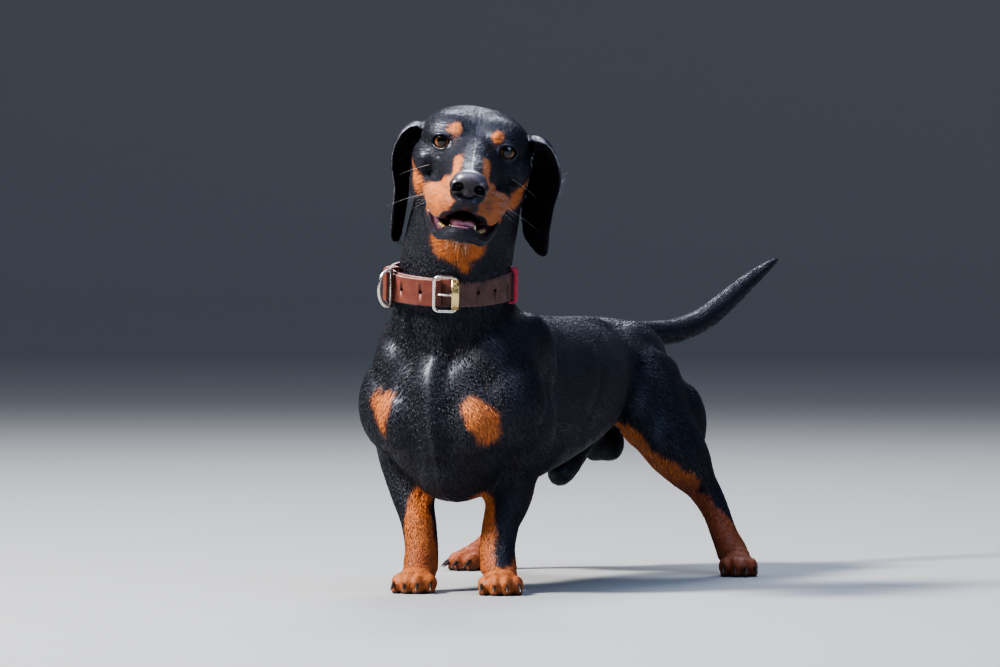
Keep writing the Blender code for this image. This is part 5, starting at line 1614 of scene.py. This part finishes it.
def make_coat(skin):
    """Covers the skin, still in the working frame, with tufts of four points: two low, a ridge and a tip."""
    draw = np.random.default_rng(SEED)
    roots, up, tree = tuft_roots(skin.data, draw)
    total = len(roots)
    length, width, lift = tuft_sizes(roots)
    length *= draw.uniform(0.75, 1.3, total)
    width *= draw.uniform(0.7, 1.25, total)
    flow = lie_of(roots)
    stray = wave_noise(roots, 0.05, 21)[:, None] * np.cross(up, flow) * 0.20
    flow = along_skin(unit(flow) + stray + draw.normal(size=(total, 3)) * 0.10, up)
    across = np.cross(up, flow)
    tips, tip_up, _ = nearest(tree, roots + flow * length[:, None])
    tips = tips + tip_up * (lift * draw.uniform(0.5, 1.7, total))[:, None]
    tips += across * (draw.normal(size=total) * 0.05 * length)[:, None]
    half = across * (width / 2)[:, None]
    low = roots - up * ROOT_DEPTH + flow * (0.02 * length)[:, None]
    bulge = roots + up * (0.16 * width + 0.00002)[:, None] + flow * (0.30 * length)[:, None]
    ridge = 0.4 * bulge + 0.6 * ((roots + tips) / 2 + up * (0.10 * width)[:, None])
    rows = np.stack([low - half, low + half, ridge, tips], 1)
    jitter = draw.normal(size=total) * 0.7
    tan = smoothstep(0.2, 0.8, tan_share(roots))
    vary = np.exp((0.16 + 0.14 * tan) * jitter)
    # Painted shade at each tuft's roots and painted light at its tip
    tones = np.outer(vary, TUFT_ROOT_SHADE_TIP_LIGHT)[:, :, None]
    colours = coat_colour(roots, jitter)[:, None, :] * tones
    clumps = wave_noise(roots, 0.006, 31) + wave_noise(roots, 0.014, 32)
    rough = COAT_ROUGH + 0.03 * draw.normal(size=total) + 0.05 * clumps + TAN_ROUGH * tan
    rough = np.clip(rough, 0.38, 0.85)
    places = map_places(base_map(skin), roots)
    raised_head = (roots[:, 2] > 0.27) * (roots[:, 1] < -0.08)
    order = np.argsort(roots[:, 1] - 0.9 * raised_head, kind="stable")
    look = coat_material("coat_hair", False)
    for number, block in enumerate(np.array_split(order, math.ceil(total / PIECE_TUFTS)), 1):
        make_tufts(f"coat_{number}", rows[block], colours[block], rough[block], places[block], look)


PATCH = np.array(((-0.0015, -0.0012), (0.0015, -0.0012), (0.0, 0.0), (0.0, 0.0015)))
TUFT_FACES = np.array(((0, 2, 3), (2, 1, 3), (1, 0, 3), (0, 1, 2)))


def make_tufts(name, rows, colours, rough, places, look):
    count = len(rows)
    mesh = bpy.data.meshes.new(name)
    mesh.vertices.add(count * 4)
    mesh.vertices.foreach_set("co", rows.reshape(-1, 3).astype(np.float32).ravel())
    faces = (np.arange(count)[:, None, None] * 4 + TUFT_FACES[None]).reshape(-1, 3)
    mesh.loops.add(faces.size)
    mesh.loops.foreach_set("vertex_index", faces.ravel().astype(np.int32))
    mesh.polygons.add(len(faces))
    mesh.polygons.foreach_set("loop_start", (np.arange(len(faces)) * 3).astype(np.int32))
    mesh.update(calc_edges=True)
    uv = mesh.uv_layers.new(name="OFBake")
    spots = places[:, None, :] + PATCH[None]
    uv.data.foreach_set("uv", spots.reshape(-1, 2)[faces.ravel()].astype(np.float32).ravel())
    give_coat(mesh, colours.reshape(-1, 3), np.repeat(rough, 4))
    finish(object_from(name, mesh), look)


def under_collar(points):
    x, y, z = placed(COLLAR.inverted(), points).T
    return (np.abs(z) < STRAP_WIDTH / 2 - 0.001) & (np.hypot(x, y) < 0.075)


def make_skin_pieces():
    skin = make_skin()
    dress_skin(skin)
    make_coat(skin)
    finish(skin, coat_material("skin_under_coat", True), FLESH)


# Collar

def collar_point(angle, radius, height):
    """Angle 0 is the front of the neck and grows towards the dog's left."""
    return Vector((radius * math.sin(angle), -radius * 0.98 * math.cos(angle), height))


def collar_at(angle, along, out, height):
    """A point beside the strap: along it from an angle, out from its inner face, up its width."""
    tangent = Vector((math.cos(angle), 0.98 * math.sin(angle), 0))
    return collar_point(angle, COLLAR_RADIUS + out, height) + tangent * along


def rounded_rectangle(half_x, half_z, corner, steps=8):
    points = []
    for sx, sz, begin in ((1, 1, 0), (-1, 1, 90), (-1, -1, 180), (1, -1, 270)):
        for k in range(steps + 1):
            angle = math.radians(begin + 90 * k / steps)
            points.append((sx * (half_x - corner) + corner * math.cos(angle),
                           sz * (half_z - corner) + corner * math.sin(angle)))
    return points


def band(clay, start, stop, inner, width, thick, steps, rounded_end=False):
    """A strap round the collar between two angles, with its inner face at the radius inner(share)."""
    closed = abs(stop - start) >= 2 * math.pi - 1e-6
    profile = [(thick / 2 + out, up) for out, up in
               rounded_rectangle(thick / 2, width / 2, min(STRAP_EDGE, thick * 0.34), 5)]
    rings = []
    for k in range(steps + (0 if closed else 1)):
        share = k / steps
        angle = start + (stop - start) * share
        narrow = 1.0
        if rounded_end:
            rest = (1 - share) * abs(stop - start) * COLLAR_RADIUS / (width / 2)
            narrow = math.sqrt(max(0.02, 1 - max(0.0, 1 - rest) ** 2))
        ring = [collar_point(angle, inner(share) + out, up * narrow) for out, up in profile]
        rings.append(ring if stop > start else list(reversed(ring)))
    clay.loft(rings, cyclic=closed)


def tube(clay, points, radius, closed=False, sides=14):
    """A bent wire through points."""
    count = len(points)
    rings = []
    for i, point in enumerate(points):
        if closed:
            along = (points[(i + 1) % count] - points[i - 1]).normalized()
        else:
            along = (points[min(count - 1, i + 1)] - points[max(0, i - 1)]).normalized()
        outward = Vector((point.x, point.y, 0)).normalized()
        side = along.cross(outward).normalized()
        other = side.cross(along).normalized()
        rings.append([point + side * c * radius + other * s * radius for c, s in circle(sides)])
    clay.loft(rings, cyclic=closed)


def hole(clay, angle, low, high, radius):
    """A round punch through the strap at an angle."""
    clay.loft([[collar_at(angle, radius * c, out, radius * s) for c, s in circle(20)] for out in (low, high)])


BUCKLE_ANGLE = math.radians(16)
TONGUE_REACH = math.radians(88)
RING_ANGLE = BUCKLE_ANGLE - math.radians(50)
KEEPER_ANGLE = RING_ANGLE - math.radians(9)
CORD_ANGLE = math.radians(98)
CORD_RADIUS, CORD_TURNS, CORD_PITCH = 0.0013, 2.5, 0.0042


def leather(name):
    """Smooth strap leather with grain, creases and rubbed places over the piece's tint."""
    made, tree, shader = tint_material(name, 0.42, (0.78, 1.22), 160)
    grain = texture(tree, "ShaderNodeTexVoronoi", 1700, feature="SMOOTH_F1")
    tree.links.new(mapped(tree, noise(tree, 260, 4), 0.3, 0.7, 0.32, 0.55), shader.inputs["Roughness"])
    height = mixed(tree, 0.35, noise(tree, 420, 5, 0.65), grain.outputs["Distance"])
    bump(tree, shader, height, 0.35, 0.0005)
    return made


def metal(name, colour, roughness, scale, rubbed):
    """Polished metal whose roughness wanders between two values."""
    made, tree, shader = material(name, colour, roughness, 1.0)
    tree.links.new(mapped(tree, noise(tree, scale, 5, 0.7), 0.35, 0.7, *rubbed), shader.inputs["Roughness"])
    return made, tree, shader


# The strap's leather, its painted shade on the side away from the key lamp, and its pale cut edges, partly a
# painted highlight
LEATHER_TAN, LEATHER_PAINTED_SHADE = np.array((0.165, 0.048, 0.032)), (0.115, 0.058, 0.050)
LEATHER_EDGE_AND_HIGHLIGHT = (0.300, 0.190, 0.175)
STITCH_INSET, STITCH_HALF, STITCH_WAVE = 0.0032, 0.0004, np.array((2600, 2100, 0))


def tint_leather(obj, half):
    """Paler cut edges, partly a painted highlight, a line of stitches, and painted shade that fades in from
    the sunny side to the other.
    """
    points = points_of(obj.data)
    x, _, z = placed(COLLAR.inverted(), points).T
    wander = 0.5 + 0.5 * wave_noise(points, 0.012, 31)
    # Painted shade over the side of the collar away from the key lamp
    far = smoothstep(0.010, 0.022, x - 0.4 * z)
    stitch = (np.abs(np.abs(z) - half + STITCH_INSET) < STITCH_HALF) & (np.sin(points @ STITCH_WAVE) > -0.2)
    colour = blended(LEATHER_TAN, far, LEATHER_PAINTED_SHADE) * ((0.85 + 0.3 * wander) * (1 - 0.35 * stitch))[:, None]
    # Pale cut edges, partly the leather's own edge and partly a painted highlight
    edge = smoothstep(half - 0.0009, half - 0.0001, np.abs(z))
    give_colour(obj.data, blended(colour, 0.8 * edge, LEATHER_EDGE_AND_HIGHLIGHT))


# Places along the buckle's bar and its pin, as along the strap and out from its inner face
BUCKLE_HALF, BUCKLE_OUT, BUCKLE_WIRE = (0.0095, 0.0146), 0.0098, 0.0015
BAR_ALONG, BAR_OUT, BAR_HALF = 0.0098, 0.0104, 0.0128
PIN = ((-0.0052, 0.0116), (-0.0035, 0.0126), (0.0, 0.0132), (0.004, 0.0134), (0.0068, 0.0134))
STRAP_HOLES, END_HOLES = (47, 66, 85), (-5, -24)


def finish_leather(clay, name, node, look, half, holes=(), reach=(0, 0), radius=0.0):
    """Makes a leather piece, punches its holes at angles in degrees and tints it."""
    obj = clay.solid(name)
    if holes:
        punch = Clay(COLLAR)
        for angle in holes:
            hole(punch, math.radians(angle), *reach, radius)
        punch.cut(obj)
    tint_leather(obj, half)
    finish(obj, look, [node])


def strap_end_radius(share):
    """Inner face of the strap's free end, which bulges a little between the buckle and its tip."""
    bulge = 0.0012 * math.sin(math.pi * min(1.0, share * 1.1)) ** 2
    return COLLAR_RADIUS + STRAP_THICK + 0.0010 + bulge


def make_straps():
    look = leather("strap_leather")
    strap, tongue, keeper = Clay(COLLAR), Clay(COLLAR), Clay(COLLAR)
    band(strap, 0, 2 * math.pi, lambda share: COLLAR_RADIUS, STRAP_WIDTH, STRAP_THICK, 220)
    finish_leather(strap, "collar_band", "collar_strap", look, STRAP_WIDTH / 2, STRAP_HOLES,
                   (-0.002, 0.006), 0.0016)
    band(tongue, BUCKLE_ANGLE - math.radians(3), BUCKLE_ANGLE - TONGUE_REACH, strap_end_radius,
         STRAP_WIDTH * 0.96, STRAP_THICK, 90, True)
    finish_leather(tongue, "collar_strap_end", "collar_tongue", look, STRAP_WIDTH * 0.48, END_HOLES,
                   (0.002, 0.012), 0.0017)
    half_x, half_z = STRAP_THICK + 0.0030, STRAP_WIDTH / 2 + 0.0020
    inner, outer = (rounded_rectangle(half_x + margin, half_z + margin, 0.003 + margin)
                    for margin in (0.0, 0.0014))
    walls = ((-0.0031, inner), (-0.0035, inner), (-0.0035, outer), (-0.0031, outer),
             (0.0031, outer), (0.0035, outer), (0.0035, inner), (0.0031, inner))
    keeper.loft([[collar_at(KEEPER_ANGLE, along, STRAP_THICK + 0.0015 + out, up + 0.0012) for out, up in loop]
                 for along, loop in walls], cyclic=True)
    finish_leather(keeper, "collar_loop", "collar_keeper", look, 1.0)


def make_fittings():
    look, tree, shader = metal("polished_metal", (0.76, 0.74, 0.70), 0.20, 600, (0.14, 0.38))
    worn = mapped(tree, noise(tree, 220, 4), 0.45, 0.75, 0.0, 0.5)
    tree.links.new(mixed(tree, worn, (0.78, 0.76, 0.72), (0.50, 0.42, 0.28)), shader.inputs["Base Color"])
    bump(tree, shader, noise(tree, 900, 3), 0.08, 0.0003)
    brass, _, _ = metal("brass_bar", (0.80, 0.64, 0.34), 0.26, 500, (0.18, 0.42))
    buckle, bar, pin, ring = (Clay(COLLAR) for _ in range(4))
    outline = rounded_rectangle(*BUCKLE_HALF, 0.004)
    tube(buckle, [collar_at(BUCKLE_ANGLE, x + 0.001, BUCKLE_OUT, z) for x, z in outline], BUCKLE_WIRE, True)
    finish(buckle.solid("buckle_frame"), look, ["collar_buckle"])
    bar.loft([[collar_at(BUCKLE_ANGLE, BAR_ALONG + along, BAR_OUT + out, z)
               for along, out in rounded_rectangle(0.0033, 0.0019, 0.0007)] for z in (-BAR_HALF, BAR_HALF)])
    finish(bar.solid("buckle_bar"), brass)
    tube(pin, [collar_at(BUCKLE_ANGLE, along, out, 0.0) for along, out in PIN], 0.0011)
    finish(pin.solid("buckle_pin"), look, ["collar_pin"])
    bow = []
    for k in range(40):
        turn = math.pi * (k / 39)
        out = 0.0112 + 0.0125 * math.sin(turn) ** 0.8
        bow.append(collar_at(RING_ANGLE, -0.0005, out, 0.0160 * math.cos(turn)))
    tube(ring, bow, BUCKLE_WIRE, True)
    finish(ring.solid("lead_ring"), look, ["collar_ring"])


def make_cord():
    spare = CORD_RADIUS + 0.0009
    outline = rounded_rectangle(STRAP_THICK / 2 + spare, STRAP_WIDTH / 2 + spare, 0.002, 5)
    count = int(len(outline) * CORD_TURNS)
    wound = []
    for k in range(count + 1):
        out, up = outline[k % len(outline)]
        along = CORD_PITCH * (k / count - 0.5) * CORD_TURNS
        wound.append(collar_at(CORD_ANGLE, along, out + STRAP_THICK / 2, up))
    cord = Clay(COLLAR)
    tube(cord, wound, CORD_RADIUS, sides=12)
    look, tree, shader = material("red_cord", (0.62, 0.035, 0.075), 0.62)
    wave = texture(tree, "ShaderNodeTexWave", 420)
    wave.inputs["Distortion"].default_value = 1.5
    tint = mixed(tree, wave.outputs["Fac"], (0.42, 0.015, 0.040), (0.72, 0.060, 0.110))
    tree.links.new(tint, shader.inputs["Base Color"])
    bump(tree, shader, wave.outputs["Fac"], 0.6, 0.0005)
    shader.inputs["Sheen Weight"].default_value = 0.3
    finish(cord.solid("wound_cord"), look, ["collar_cord"])


# Camera, floor and light

# The photograph's view: the camera's place, its scale, and the pixels of the picture's middle and the aim
AZIMUTH, ELEVATION, DISTANCE = math.radians(22), math.radians(1.24), 6.0
PIXELS_A_METRE, PICTURE_WIDTH, SENSOR = 1176.0, 1000, 36
PICTURE_MIDDLE, AIM_PIXEL, AIM = (500, 333.5), (456, 592), Vector((0, -0.15, 0))

# Lamps: place, size, energy and colour; the floor's profile as radius and height
LAMPS = {
    "key": ((-1.9, -2.1, 2.9), (0.7, 0.7), 345, (1.0, 0.96, 0.90)),
    "sky": ((0.5, -1.0, 3.0), (2.4, 2.4), 62, (0.62, 0.75, 1.0)),
    "rim": ((-0.9, 2.4, 2.6), (1.2, 0.8), 70, (0.92, 0.95, 1.0)),
    "fill": ((3.0, -1.4, 1.4), (1.6, 1.6), 22, (0.58, 0.72, 1.0)),
}
LAMP_AIM = Vector((0, 0, 0.2))
SKY_COLOUR, SKY_STRENGTH = (0.62, 0.74, 1.0, 1), 0.26
FLOOR_PROFILE = ((3.0, 0.0), (8.0, 0.0), (9.0, 0.08), (10.0, 0.4), (11.0, 1.1), (11.8, 2.4), (12.0, 5.0))


def turn_towards(obj, direction):
    obj.rotation_mode = "QUATERNION"
    obj.rotation_quaternion = direction.to_track_quat("-Z", "Y")


def make_camera():
    camera = object_from("camera", bpy.data.cameras.new("camera"))
    back = Vector((math.sin(AZIMUTH) * math.cos(ELEVATION), -math.cos(AZIMUTH) * math.cos(ELEVATION),
                   math.sin(ELEVATION)))
    right = Vector((math.cos(AZIMUTH), math.sin(AZIMUTH), 0))
    up = right.cross(-back)
    aside, above = PICTURE_MIDDLE[0] - AIM_PIXEL[0], AIM_PIXEL[1] - PICTURE_MIDDLE[1]
    camera.location = AIM + SHIFT + back * DISTANCE + (right * aside + up * above) / PIXELS_A_METRE
    turn_towards(camera, -back)
    camera.data.sensor_width = SENSOR
    camera.data.lens = PIXELS_A_METRE * DISTANCE / PICTURE_WIDTH * SENSOR
    camera.data.clip_start = 0.05
    bpy.context.scene.camera = camera


def make_floor():
    """A round sheet of paper that rises behind the dog on every side."""
    bm = bmesh.new()
    rings = [[bm.verts.new((radius * c, radius * s, height)) for c, s in circle(96)]
             for radius, height in FLOOR_PROFILE]
    middle = bm.verts.new((0, 0, 0))
    for k in range(96):
        bm.faces.new((middle, rings[0][k], rings[0][(k + 1) % 96]))
        for low, high in zip(rings, rings[1:]):
            bm.faces.new((low[k], high[k], high[(k + 1) % 96], low[(k + 1) % 96]))
    floor = object_from("floor", mesh_from("floor", bm))
    look, _, _ = material("floor_paper", (0.30, 0.30, 0.30), 0.85)
    floor.data.materials.append(look)
    floor.data.shade_smooth()


def make_light():
    world = bpy.data.worlds.new("studio")
    bpy.context.scene.world = world
    world.use_nodes = True
    adjust(world.node_tree.nodes["Background"], {"Color": SKY_COLOUR, "Strength": SKY_STRENGTH})
    for name, (place, size, energy, colour) in LAMPS.items():
        light = bpy.data.lights.new(name, "AREA")
        light.shape, light.size, light.size_y = "RECTANGLE", size[0], size[1]
        light.energy, light.color = energy, colour
        lamp = object_from(name, light)
        lamp.location = Vector(place)
        turn_towards(lamp, LAMP_AIM - lamp.location)
    bpy.context.scene.view_settings.look = "AgX - High Contrast"


make_camera()
make_floor()
make_light()
make_skin_pieces()
make_eyes()
make_nose()
make_tongue()
make_teeth()
make_claws()
make_whiskers()
make_straps()
make_fittings()
make_cord()
